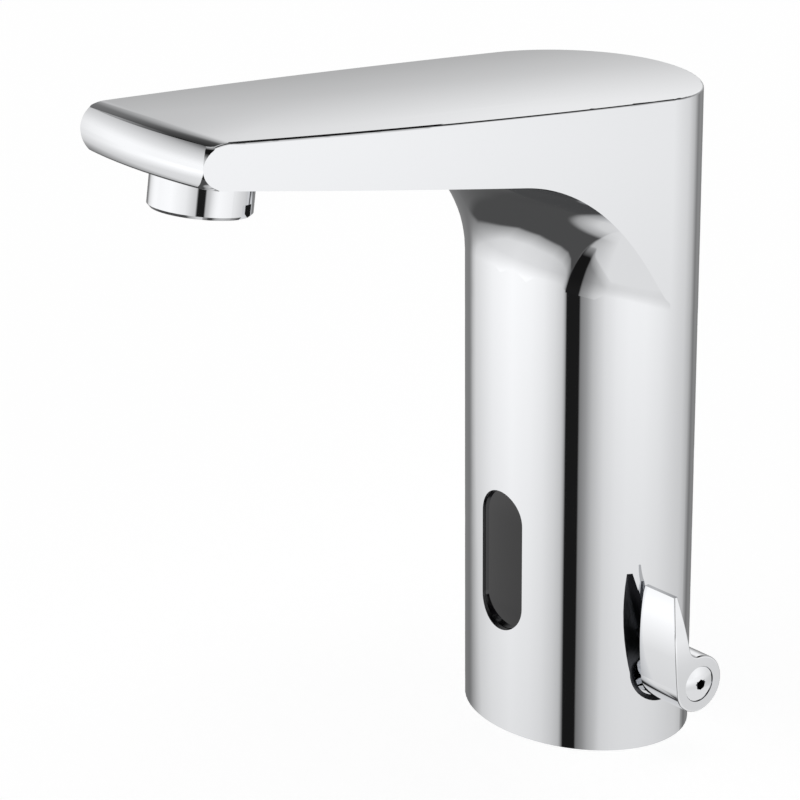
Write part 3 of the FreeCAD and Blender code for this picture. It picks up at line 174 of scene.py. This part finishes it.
def spout_side(point):
    middle = Vector((math.copysign(side_radius - side_width, -point.x), 0, 0))
    away = Vector((point.x, point.y, 0)) - middle
    if point.y < fit and abs(away.length - side_radius) < fit:
        return away.normalized()


def crowned_top(point):
    away = point - crown_middle
    away -= along_top * away.dot(along_top)
    if abs(away.length - crown_radius) < fit:
        return away.normalized()


def nose_front(point):
    local = nose_turn.inverted() @ (point - nose_middle)
    from_axis, rise = math.hypot(local.x, local.y), local.z - tip_height
    arc_radius = upper_arc if rise > 0 else lower_arc
    out = from_axis - bow_radius + arc_radius
    on_arc = lower_end < rise < upper_end and abs(math.hypot(out, rise) - arc_radius) < nose_fit
    if local.y < 0 and on_arc:
        return (nose_turn @ Vector((local.x * out / from_axis, local.y * out / from_axis, rise))).normalized()


def flare(point):
    if point.y > 0 or not flare_low < point.z < flare_high:
        return None
    middle_height = crest_height - arm_depth - flare_radius * math.hypot(1, underside_rise)

    def to_ball(turn):
        out = Vector((math.cos(turn) / half_width, math.sin(turn) / half_depth, 0)).normalized()
        ball = Vector((half_width * math.cos(turn), half_depth * math.sin(turn), 0)) + out * flare_radius
        ball.z = middle_height - ball.y * underside_rise
        return ball - point

    # The search for the nearest ball starts beside the point, in steps that grow finer.
    turn = math.atan2(point.y / half_depth, point.x / half_width)
    step, finest_step, finer = 0.2, 0.0001, 0.7
    while step > finest_step:
        turn = min((turn - step, turn, turn + step), key=lambda angle: to_ball(angle).length)
        step *= finer
    if abs(to_ball(turn).length - flare_radius) < fit:
        return to_ball(turn).normalized()


shading = [corner.vector.copy() for corner in skin.data.corner_normals]
for face in skin.data.polygons:
    points = [skin.data.vertices[number].co for number in face.vertices]
    for true_curve in (flare, column_wall, spout_side, crowned_top, nose_front):
        directions = [true_curve(point) for point in points]
        if all(directions) and face.normal.dot(directions[0]) > same_way:
            for corner, direction in zip(face.loop_indices, directions):
                shading[corner] = direction
            break

# Towards the nose the polished top rolls down a little, and ends in a crisp edge over the front face. The
# edge is bowed, and the drop fades out down the front.
roll_fade, roll_end, facing_up = 0.006, edge_front + 2 * roll_length, 0.8


def behind_edge(point):
    return min(max(point.y - edge_front - point.x ** 2 / (2 * bow_radius), 0), roll_length) / roll_length


for loop in skin.data.loops:
    point = skin.data.vertices[loop.vertex_index].co
    if shading[loop.index].z > facing_up and point.y < roll_end:
        slope = 2 * roll_drop / roll_length * (1 - behind_edge(point))
        shading[loop.index] = (shading[loop.index] + Vector((0, -slope, 0))).normalized()
for vertex in skin.data.vertices:
    if vertex.co.y < roll_end:
        top = crest_height - vertex.co.y * top_rise - vertex.co.x ** 2 / (2 * crown_radius)
        fade = max(0, 1 - (top - vertex.co.z) / roll_fade)
        vertex.co.z -= roll_drop * (1 - behind_edge(vertex.co)) ** 2 * min(1, fade)
skin.data.normals_split_custom_set(shading)


# Painted shade: a darkened chrome for the walls of the narrow pocket behind the lever and inside the screw's
# socket, where shade falls in the recess. Patches about 4 mm across make it a little uneven.
def recess_painted_shade():
    material, tree, place = start_material("recess_painted_shade")
    patches = add(tree, "ShaderNodeTexNoise", {"Vector": place, "Scale": 1 / 0.004, "Detail": 2.0})
    colour = add(tree, "ShaderNodeMix", {0: patches.outputs["Fac"], 6: linear("#4A4B4E"),
                                         7: linear("#65666A")}, data_type="RGBA")
    gloss = add(tree, "ShaderNodeMapRange", {"Value": patches.outputs["Fac"], "To Min": 0.25, "To Max": 0.40})
    shader = add(tree, "ShaderNodeBsdfPrincipled", {
        "Base Color": colour.outputs[2], "Metallic": 1.0, "Roughness": gloss.outputs["Result"]})
    end_material(tree, shader)
    return material


# The pocket's faces behind the lever get the darkened chrome: painted shade in the recess.
painted_shade = recess_painted_shade()
skin.data.materials.append(painted_shade)
pocket_depth, pocket_top, under_wall = 0.0033, 0.068, 0.99
for face in skin.data.polygons:
    inside = (face.center.x / half_width) ** 2 + (face.center.y / half_depth) ** 2 < under_wall
    if inside and face.center.x > half_width - pocket_depth - fit and face.center.z < pocket_top:
        face.material_index = 1


# Base: a machined brass plate closes the column's foot on a rubber ring, and four steel screws hold it.
# Free-cutting brass is warm yellow and shows the fine rings of the lathe, here drawn 0.6 mm apart.
def machined_brass():
    material, tree, place = start_material("machined_brass")
    ring_spacing = 0.0006
    rings = add(tree, "ShaderNodeTexWave", {"Vector": place, "Scale": 1 / (20 * ring_spacing),
                                            "Distortion": 0.4}, wave_type="RINGS", rings_direction="Z")
    stain = add(tree, "ShaderNodeTexNoise", {"Vector": place, "Scale": 1 / 0.008, "Detail": 4.0})
    colour = add(tree, "ShaderNodeMix", {0: stain.outputs["Fac"], 6: linear("#C8A35A"), 7: linear("#B08A45")},
                 data_type="RGBA")
    gloss = add(tree, "ShaderNodeMapRange", {"Value": stain.outputs["Fac"], "To Min": 0.22, "To Max": 0.40})
    tooling = add(tree, "ShaderNodeBump", {"Height": rings.outputs["Fac"], "Strength": 0.15,
                                           "Distance": 0.00002})
    shader = add(tree, "ShaderNodeBsdfPrincipled", {
        "Base Color": colour.outputs[2], "Metallic": 1.0, "Roughness": gloss.outputs["Result"],
        "Normal": tooling.outputs[0]})
    end_material(tree, shader)
    return material


brass = machined_brass()
dress(brass, "base_plate")


# EPDM rubber: near black and dull, with the fine grain of the mould, about 0.4 mm.
def moulded_rubber():
    material, tree, place = start_material("epdm_rubber")
    grain = add(tree, "ShaderNodeTexNoise", {"Vector": place, "Scale": 1 / 0.0004, "Detail": 2.0})
    bloom = add(tree, "ShaderNodeTexNoise", {"Vector": place, "Scale": 1 / 0.006, "Detail": 3.0})
    colour = add(tree, "ShaderNodeMix", {0: bloom.outputs["Fac"], 6: linear("#151516"), 7: linear("#242426")},
                 data_type="RGBA")
    skin_bump = add(tree, "ShaderNodeBump", {"Height": grain.outputs["Fac"], "Strength": 0.3,
                                             "Distance": 0.00005})
    gloss = add(tree, "ShaderNodeMapRange", {"Value": bloom.outputs["Fac"], "To Min": 0.65, "To Max": 0.85})
    shader = add(tree, "ShaderNodeBsdfPrincipled", {
        "Base Color": colour.outputs[2], "Roughness": gloss.outputs["Result"], "IOR": 1.5,
        "Normal": skin_bump.outputs[0]})
    end_material(tree, shader)
    return material


rubber = moulded_rubber()
dress(rubber, "base_seal")


# Stainless steel as rolled or headed: grey, with fine streaks about 0.5 mm wide and 8 mm long.
def stainless_steel():
    material, tree, place = start_material("stainless_steel")
    streak = add(tree, "ShaderNodeMapping", {"Vector": place, "Scale": (1 / 0.0005, 1 / 0.0005, 1 / 0.008)})
    streaks = add(tree, "ShaderNodeTexNoise", {"Vector": streak.outputs[0], "Scale": 1.0, "Detail": 3.0})
    colour = add(tree, "ShaderNodeMix", {0: streaks.outputs["Fac"], 6: linear("#B4B6B8"),
                                         7: linear("#C9CBCC")}, data_type="RGBA")
    gloss = add(tree, "ShaderNodeMapRange", {"Value": streaks.outputs["Fac"], "To Min": 0.20, "To Max": 0.38})
    shader = add(tree, "ShaderNodeBsdfPrincipled", {
        "Base Color": colour.outputs[2], "Metallic": 1.0, "Roughness": gloss.outputs["Result"]})
    end_material(tree, shader)
    return material


steel = stainless_steel()
dress(steel, "base_screws")

# Mixing valve: a brass chamber on a manifold, screwed to the base plate. Hot and cold pass strainers and two
# ceramic discs, the spindle turns the upper disc, and a brass cap closes the chamber.
dress(brass, "mixing_valve_body", "mixing_spindle", "valve_cap")
dress(steel, "valve_screws", "inlet_strainers")
dress(rubber, "inlet_seals")


# Alumina: lapped until water cannot pass between two discs. Ivory white, with a silky gloss and the faint
# speckle of its grains, drawn at 0.5 mm so that it can be seen.
def lapped_alumina():
    material, tree, place = start_material("lapped_alumina")
    grains = add(tree, "ShaderNodeTexVoronoi", {"Vector": place, "Scale": 1 / 0.0005})
    colour = add(tree, "ShaderNodeMix", {0: grains.outputs["Distance"], 6: linear("#F1EEE6"),
                                         7: linear("#E2DED3")}, data_type="RGBA")
    gloss = add(tree, "ShaderNodeMapRange", {"Value": grains.outputs["Distance"], "To Min": 0.18,
                                             "To Max": 0.32})
    shader = add(tree, "ShaderNodeBsdfPrincipled", {
        "Base Color": colour.outputs[2], "Roughness": gloss.outputs["Result"], "IOR": 1.76})
    end_material(tree, shader)
    return material


dress(lapped_alumina(), "fixed_disc", "moving_disc")

# Lever: a chrome plated brass fin on the shaft's square end, held by a plated domed socket screw. The shaft
# turns in a plated bush in the column's side, with a rubber ring round it.
dress(chrome, "spindle_bush", "mixing_lever", "lever_shaft")
screw = merged_copy("domed_screw", "lever_screw", "lever", chrome)
# The faces inside the screw's socket get the darkened chrome: painted shade in the hole.
screw.data.materials.append(painted_shade)
lever_height, socket_radius, socket_floor = 0.022, 0.00155, 0.045
for face in screw.data.polygons:
    from_axis = math.hypot(face.center.y, face.center.z - lever_height)
    if from_axis < socket_radius and face.center.x > socket_floor:
        face.material_index = 1
dress(rubber, "shaft_seal")


# Solenoid valve: a glass-filled nylon body with a rubber diaphragm. The coil is moulded in the same black
# nylon and slides over the guide tube, and a steel nut holds it there.
# Glass-filled nylon comes from the mould black and satin, with a sparked grain of about 0.6 mm and faint
# lighter swirls where the glass comes to the skin.
def glass_filled_nylon():
    material, tree, place = start_material("glass_filled_nylon")
    grain = add(tree, "ShaderNodeTexNoise", {"Vector": place, "Scale": 1 / 0.0006, "Detail": 2.0})
    swirl = add(tree, "ShaderNodeTexNoise", {"Vector": place, "Scale": 1 / 0.012, "Detail": 5.0,
                                             "Distortion": 1.5})
    colour = add(tree, "ShaderNodeMix", {0: swirl.outputs["Fac"], 6: linear("#17181A"), 7: linear("#26272A")},
                 data_type="RGBA")
    gloss = add(tree, "ShaderNodeMapRange", {"Value": grain.outputs["Fac"], "To Min": 0.40, "To Max": 0.60})
    skin_bump = add(tree, "ShaderNodeBump", {"Height": grain.outputs["Fac"], "Strength": 0.35,
                                             "Distance": 0.00004})
    shader = add(tree, "ShaderNodeBsdfPrincipled", {
        "Base Color": colour.outputs[2], "Roughness": gloss.outputs["Result"], "IOR": 1.53,
        "Normal": skin_bump.outputs[0]})
    end_material(tree, shader)
    return material


nylon = glass_filled_nylon()
dress(nylon, "solenoid_body", "solenoid_guide", "solenoid_coil")
dress(rubber, "solenoid_seal", "diaphragm", "plunger_pad")
dress(steel, "solenoid_screws", "coil_nut", "plunger")

# Plunger spring: round stainless wire wound in an even helix that presses the plunger onto the diaphragm.
# It stands in the tube-shaped room that the CAD solid keeps for it. The real spring shortens as the plunger
# lifts; this one keeps one length.
spring_low, spring_high = [Vector(corner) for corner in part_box("plunger_spring")]
spring_room = 0.001
spring_wire = 0.45 * spring_room
spring_radius = (spring_high.x - spring_low.x) / 2 - spring_room / 2
spring_turns = 9
winding = bpy.data.node_groups.new("spring_winding", "GeometryNodeTree")
winding.interface.new_socket("Geometry", in_out="OUTPUT", socket_type="NodeSocketGeometry")
spring_sizes = {"Coil radius": spring_radius, "Wire radius": spring_wire,
                "Height": spring_high.z - spring_low.z - 2 * spring_wire, "Turns": spring_turns}
sockets = {name: winding.interface.new_socket(name, in_out="INPUT", socket_type="NodeSocketFloat").identifier
           for name in spring_sizes}
given = add(winding, "NodeGroupInput").outputs
helix = add(winding, "GeometryNodeCurveSpiral", {
    "Resolution": 24, "Rotations": given["Turns"], "Start Radius": given["Coil radius"],
    "End Radius": given["Coil radius"], "Height": given["Height"]})
wire_section = add(winding, "GeometryNodeCurvePrimitiveCircle", {
    "Resolution": 10, "Radius": given["Wire radius"]})
wire = add(winding, "GeometryNodeCurveToMesh", {
    "Curve": helix.outputs[0], "Profile Curve": wire_section.outputs[0], "Fill Caps": True})
spring_foot = (spring_low + spring_high) / 2
spring_foot.z = spring_low.z + spring_wire
stood = add(winding, "GeometryNodeTransform", {"Geometry": wire.outputs[0], "Translation": spring_foot})
real = add(winding, "GeometryNodeRealizeInstances", {"Geometry": stood.outputs[0]})
wound = add(winding, "GeometryNodeSetMaterial", {"Geometry": real.outputs[0], "Material": steel})
add(winding, "NodeGroupOutput", {"Geometry": wound.outputs[0]})
former = bpy.data.objects.new("spring_former", bpy.data.meshes.new("spring_former"))
bpy.context.scene.collection.objects.link(former)
modifier = former.modifiers.new("winding", "NODES")
modifier.node_group = winding
for name, size in spring_sizes.items():
    modifier[sockets[name]] = float(size)
evaluated = former.evaluated_get(bpy.context.evaluated_depsgraph_get())
spring = bpy.data.objects.new("wire_spring", bpy.data.meshes.new_from_object(evaluated))
bpy.data.objects.remove(former)
bpy.context.scene.collection.objects.link(spring)
spring.data.shade_smooth()
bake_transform(spring)
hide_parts("plunger_spring")
dress(steel, "plunger_spring")

# Riser: a brass tube between two rubber rings takes the water from the solenoid valve up to the cast duct.
dress(brass, "riser_tube")
dress(rubber, "riser_seals")


# Sensor: a pane of smoked acrylic in the column's front, on a rubber gasket, pressed home by the housing.
# Behind it the board carries an infrared emitter and receiver.
# Smoked acrylic looks black and very glossy, lets a little red through, and has polished, rounded edges.
def smoked_acrylic():
    material, tree, place = start_material("smoked_acrylic")
    haze = add(tree, "ShaderNodeTexNoise", {"Vector": place, "Scale": 1 / 0.010, "Detail": 2.0})
    gloss = add(tree, "ShaderNodeMapRange", {"Value": haze.outputs["Fac"], "To Min": 0.02, "To Max": 0.06})
    colour = add(tree, "ShaderNodeMix", {0: haze.outputs["Fac"], 6: linear("#0C0B0D"), 7: linear("#131214")},
                 data_type="RGBA")
    shader = add(tree, "ShaderNodeBsdfPrincipled", {
        "Base Color": colour.outputs[2], "Roughness": gloss.outputs["Result"], "IOR": 1.49})
    end_material(tree, shader)
    return material


acrylic = smoked_acrylic()
pane = merged_copy("window_pane", "sensor_window", "tap", acrylic)
rounding = pane.modifiers.new("polished_edges", "BEVEL")
rounding.width = 0.0007
rounding.segments = 4
rounding.limit_method = "ANGLE"
rounding.angle_limit = math.radians(60)
pane.data.shade_smooth()
pane.data.set_sharp_from_angle(angle=math.radians(40))
dress(acrylic, "infrared_emitter", "infrared_receiver")
dress(rubber, "window_gasket")
dress(nylon, "sensor_housing")
dress(steel, "sensor_screws")


# Circuit board: glass epoxy under green solder resist, glossy, with copper tracks that show as paler lines
# 1.2 mm apart.
def coated_board():
    material, tree, place = start_material("solder_resist")
    track_spacing = 0.0012
    tracks = add(tree, "ShaderNodeTexWave", {"Vector": place, "Scale": 1 / (20 * track_spacing),
                                             "Distortion": 3.0, "Detail": 0.0}, bands_direction="Z")
    copper = add(tree, "ShaderNodeMapRange", {"Value": tracks.outputs["Fac"], "From Min": 0.6,
                                              "From Max": 0.7})
    colour = add(tree, "ShaderNodeMix", {0: copper.outputs["Result"], 6: linear("#0E4A2A"),
                                         7: linear("#2C7347")}, data_type="RGBA")
    gloss = add(tree, "ShaderNodeMapRange", {"Value": copper.outputs["Result"], "To Min": 0.25,
                                             "To Max": 0.38})
    shader = add(tree, "ShaderNodeBsdfPrincipled", {
        "Base Color": colour.outputs[2], "Roughness": gloss.outputs["Result"], "IOR": 1.55})
    end_material(tree, shader)
    return material


dress(coated_board(), "sensor_board")


# Battery: a pack in a shrunk PVC sleeve on a hanging nylon tray, screwed up into the column's roof.
# The sleeve is black and glossy, with shallow shrink wrinkles about 5 mm apart.
def shrunk_sleeve():
    material, tree, place = start_material("pvc_sleeve")
    wrinkles = add(tree, "ShaderNodeTexNoise", {"Vector": place, "Scale": 1 / 0.005, "Detail": 2.0})
    folds = add(tree, "ShaderNodeBump", {"Height": wrinkles.outputs["Fac"], "Strength": 0.4,
                                         "Distance": 0.0003})
    colour = add(tree, "ShaderNodeMix", {0: wrinkles.outputs["Fac"], 6: linear("#1B1C20"),
                                         7: linear("#2A2B30")}, data_type="RGBA")
    shader = add(tree, "ShaderNodeBsdfPrincipled", {
        "Base Color": colour.outputs[2], "Roughness": 0.28, "IOR": 1.53, "Normal": folds.outputs[0]})
    end_material(tree, shader)
    return material


dress(shrunk_sleeve(), "battery_pack")
dress(nylon, "battery_tray")
dress(steel, "tray_screws")

# Aerator: a plated collar screwed up into the spout, with two flats for its key. Inside are a white acetal
# core of round cells, a steel screen and a rubber washer.
dress(chrome, "aerator_collar")
dress(steel, "aerator_screen")
dress(rubber, "aerator_washer")


# Acetal: milky white and waxy, a little light goes into it. Limescale leaves a faint mottling, 3 mm across.
def moulded_acetal():
    material, tree, place = start_material("white_acetal")
    scale_marks = add(tree, "ShaderNodeTexNoise", {"Vector": place, "Scale": 1 / 0.003, "Detail": 4.0})
    colour = add(tree, "ShaderNodeMix", {0: scale_marks.outputs["Fac"], 6: linear("#EFEEEA"),
                                         7: linear("#DEDCD5")}, data_type="RGBA")
    gloss = add(tree, "ShaderNodeMapRange", {"Value": scale_marks.outputs["Fac"], "To Min": 0.30,
                                             "To Max": 0.48})
    shader = add(tree, "ShaderNodeBsdfPrincipled", {
        "Base Color": colour.outputs[2], "Roughness": gloss.outputs["Result"], "IOR": 1.48,
        "Subsurface Weight": 0.15, "Subsurface Scale": 0.001})
    end_material(tree, shader)
    return material


dress(moulded_acetal(), "aerator_core")

# Stage: pale floor under the tap, a white tent round it with gaps and a pale roof, and the camera.
# The tent's brightness is given by compass heading, and by height above the horizon.
world = bpy.data.worlds.new("light_tent")
bpy.context.scene.world = world
world.use_nodes = True
tent = world.node_tree
tent.nodes.clear()
heading = add(tent, "ShaderNodeSeparateXYZ", {"Vector": add(tent, "ShaderNodeTexCoord").outputs["Generated"]})
forward = add(tent, "ShaderNodeMath", {0: heading.outputs["Y"], 1: -1.0}, operation="MULTIPLY")
bearing = add(tent, "ShaderNodeMath", {0: heading.outputs["X"], 1: forward.outputs[0]}, operation="ARCTAN2")
turn = add(tent, "ShaderNodeMapRange", {"Value": bearing.outputs[0], "From Min": -math.pi,
                                        "From Max": math.pi})
lift = add(tent, "ShaderNodeMath", {0: heading.outputs["Z"]}, operation="ARCSINE")
rise = add(tent, "ShaderNodeMapRange", {"Value": lift.outputs[0], "From Min": -math.pi / 2,
                                        "From Max": math.pi / 2})


def ramp(factor, full_turn, stops):
    """Brightness along an angle in degrees, from a few stops."""
    node = add(tent, "ShaderNodeValToRGB", {"Fac": factor})
    elements = node.color_ramp.elements
    for number, (angle, level) in enumerate(stops):
        position = angle / full_turn + 0.5
        element = elements[number] if number < 2 else elements.new(position)
        element.position = position
        element.color = (level, level, level, 1.0)
    return node.outputs["Color"]


lower_panels = ramp(turn.outputs[0], 360, [
    (-180, 0.5), (-174, 0.36), (-168, 0.2), (-150, 0.36), (-128, 0.3), (-116, 0.22), (-100, 0.2), (-94, 0.43),
    (-84, 0.75), (-74, 0.85), (-59, 1.0), (-38, 1.1), (-20, 1.05), (-9, 0.97), (1, 0.82), (7, 0.68),
    (9.5, 0.5), (11, 0.012), (22.5, 0.012), (24, 0.24), (30, 0.37), (36, 0.58), (42, 0.71), (48, 0.83),
    (61, 0.95), (75, 1.0), (96, 1.0), (119, 0.93), (149, 0.77), (164, 0.7), (180, 0.5)])
upper_panels = ramp(turn.outputs[0], 360, [
    (-180, 0.5), (-165, 0.25), (-100, 0.2), (-94, 0.43), (-84, 0.75), (-72, 0.92), (-63, 1.0), (-54, 1.02),
    (-46, 1.0), (-12, 1.04), (22, 0.88), (44, 0.6), (47, 0.012), (62, 0.012), (65, 0.5), (86, 0.82),
    (120, 1.0), (149, 0.77), (180, 0.5)])
upper = add(tent, "ShaderNodeMapRange", {"Value": lift.outputs[0], "From Min": math.radians(-11),
                                         "From Max": math.radians(-8)})
panels = add(tent, "ShaderNodeMix", {0: upper.outputs["Result"], 6: lower_panels, 7: upper_panels},
             data_type="RGBA")
panel_height = ramp(rise.outputs[0], 180, [
    (-90, 0.75), (-40, 0.78), (-26, 0.83), (-20, 1.0), (-15, 1.15), (0, 1.15), (5, 1.08), (13, 0.9),
    (20, 0.75), (30, 0.5), (36, 0.2), (44, 0.01)])
sides = add(tent, "ShaderNodeMix", {0: 1.0, 6: panels.outputs[2], 7: panel_height}, data_type="RGBA",
            blend_type="MULTIPLY")

# The tent's own floor, which only the chrome mirrors, is dark in front and to the left, and pale to the right
# and straight below. The panels end at an angle below the horizon that is given as a share of a right angle,
# and grow lighter above their foot.
dark_floor = ramp(rise.outputs[0], 180, [(-90, 0.85), (-80, 0.75), (-73, 0.4), (-70, 0.08), (90, 0.08)])
dark_side = ramp(turn.outputs[0], 360, [
    (-180, 0.0), (-150, 0.0), (-140, 1.0), (12, 1.0), (15, 0.45), (45, 0.0), (180, 0.0)])
floor_tone = add(tent, "ShaderNodeMix", {0: dark_side, 6: linear("#F0F0F0"), 7: dark_floor}, data_type="RGBA")
panel_foot = ramp(turn.outputs[0], 360, [
    (-180, 0.45), (-100, 0.33), (-85, 0.345), (-65, 0.445), (-52, 0.52), (-33, 0.56), (-10, 0.55), (0, 0.52),
    (6, 0.46), (10, 0.36), (11.5, 0.36), (12.5, 0.66), (22, 0.66), (26, 0.56), (50, 0.335), (180, 0.335)])
above = add(tent, "ShaderNodeMath", {0: panel_foot, 1: math.pi / 2, 2: lift.outputs[0]},
            operation="MULTIPLY_ADD")
over_foot = add(tent, "ShaderNodeMapRange", {"Value": above.outputs[0], "From Min": -math.pi / 2,
                                             "From Max": math.pi / 2})
lit = ramp(over_foot.outputs[0], 180, [(-90, 0.0), (-1, 0.0), (1, 0.4), (11, 1.0)])
walls = add(tent, "ShaderNodeMix", {0: lit, 6: floor_tone.outputs[2], 7: sides.outputs[2]}, data_type="RGBA")

# One corner of the tent, behind and to the left, is lit by itself: the spout's top mirrors it. Higher up the
# lit part is narrower.
corner_foot = ramp(turn.outputs[0], 360, [
    (-180, 0.0), (-165, 0.2), (-150, 1.0), (-134, 1.0), (-128, 0.82), (-123, 0.76), (-98, 0.6), (-91, 0.0),
    (180, 0.0)])
corner_top = ramp(turn.outputs[0], 360, [
    (-180, 0.0), (-165, 0.2), (-150, 1.0), (-134, 1.0), (-128, 0.82), (-124, 0.4), (-116, 0.05), (180, 0.0)])
narrower = add(tent, "ShaderNodeMapRange", {"Value": lift.outputs[0], "From Min": math.radians(8.5),
                                            "From Max": math.radians(13.5)})
corner = add(tent, "ShaderNodeMix", {0: narrower.outputs["Result"], 6: corner_foot, 7: corner_top},
             data_type="RGBA")
corner_height = ramp(rise.outputs[0], 180, [
    (-90, 0.05), (-48, 0.08), (-40, 0.14), (-30, 0.22), (-10, 0.25), (0, 0.48), (4, 0.57), (8, 0.68),
    (14, 0.95), (20, 1.05), (26, 1.05), (31, 0.01)])
tent_light = add(tent, "ShaderNodeMix", {0: corner.outputs[2], 6: walls.outputs[2], 7: corner_height},
                 data_type="RGBA")
overhead = add(tent, "ShaderNodeMapRange", {"Value": lift.outputs[0], "From Min": math.radians(56),
                                            "From Max": math.radians(68)})
whole_tent = add(tent, "ShaderNodeMix", {0: overhead.outputs["Result"], 6: tent_light.outputs[2],
                                         7: linear("#CFCFCF")}, data_type="RGBA")
ray = add(tent, "ShaderNodeLightPath")
seen = add(tent, "ShaderNodeMix", {0: ray.outputs["Is Camera Ray"], 6: whole_tent.outputs[2],
                                   7: linear("#FFFFFF")}, data_type="RGBA")
background = add(tent, "ShaderNodeBackground", {"Color": seen.outputs[2], "Strength": 1.0})
add(tent, "ShaderNodeOutputWorld", {"Surface": background.outputs[0]})

floor_mesh = bpy.data.meshes.new("floor")
floor_reach = 3.0
floor_corners = [(across * floor_reach, along * floor_reach, 0)
                 for across, along in ((-1, -1), (1, -1), (1, 1), (-1, 1))]
floor_mesh.from_pydata(floor_corners, [], [(0, 1, 2, 3)])
floor = bpy.data.objects.new("floor", floor_mesh)
bpy.context.scene.collection.objects.link(floor)
floor.visible_glossy = False
floor_material, floor_tree = start_material("pale_floor")[:2]
paper = add(floor_tree, "ShaderNodeBsdfDiffuse", {"Color": linear("#C4C4C4")})
glow = add(floor_tree, "ShaderNodeEmission", {"Color": linear("#FFFFFF"), "Strength": 0.82})
end_material(floor_tree, add(floor_tree, "ShaderNodeAddShader", {0: paper.outputs[0], 1: glow.outputs[0]}))
floor_mesh.materials.append(floor_material)

camera_data = bpy.data.cameras.new("camera")
camera_data.lens = 137.5
camera_data.sensor_width = 36
camera = bpy.data.objects.new("camera", camera_data)
bpy.context.scene.collection.objects.link(camera)
bpy.context.scene.camera = camera
azimuth, elevation, roll = math.radians(51.52), math.radians(19.55), math.radians(-0.45)
back = Vector((math.sin(azimuth) * math.cos(elevation), -math.cos(azimuth) * math.cos(elevation),
               math.sin(elevation)))
aim, distance = Vector((0, -0.0606, 0.1012)), 0.770
camera.rotation_mode = "QUATERNION"
camera.location = aim + back * distance
camera.rotation_quaternion = (-back).to_track_quat("-Z", "Y") @ Quaternion((0, 0, 1), roll)

bpy.context.scene.view_settings.view_transform = "Standard"
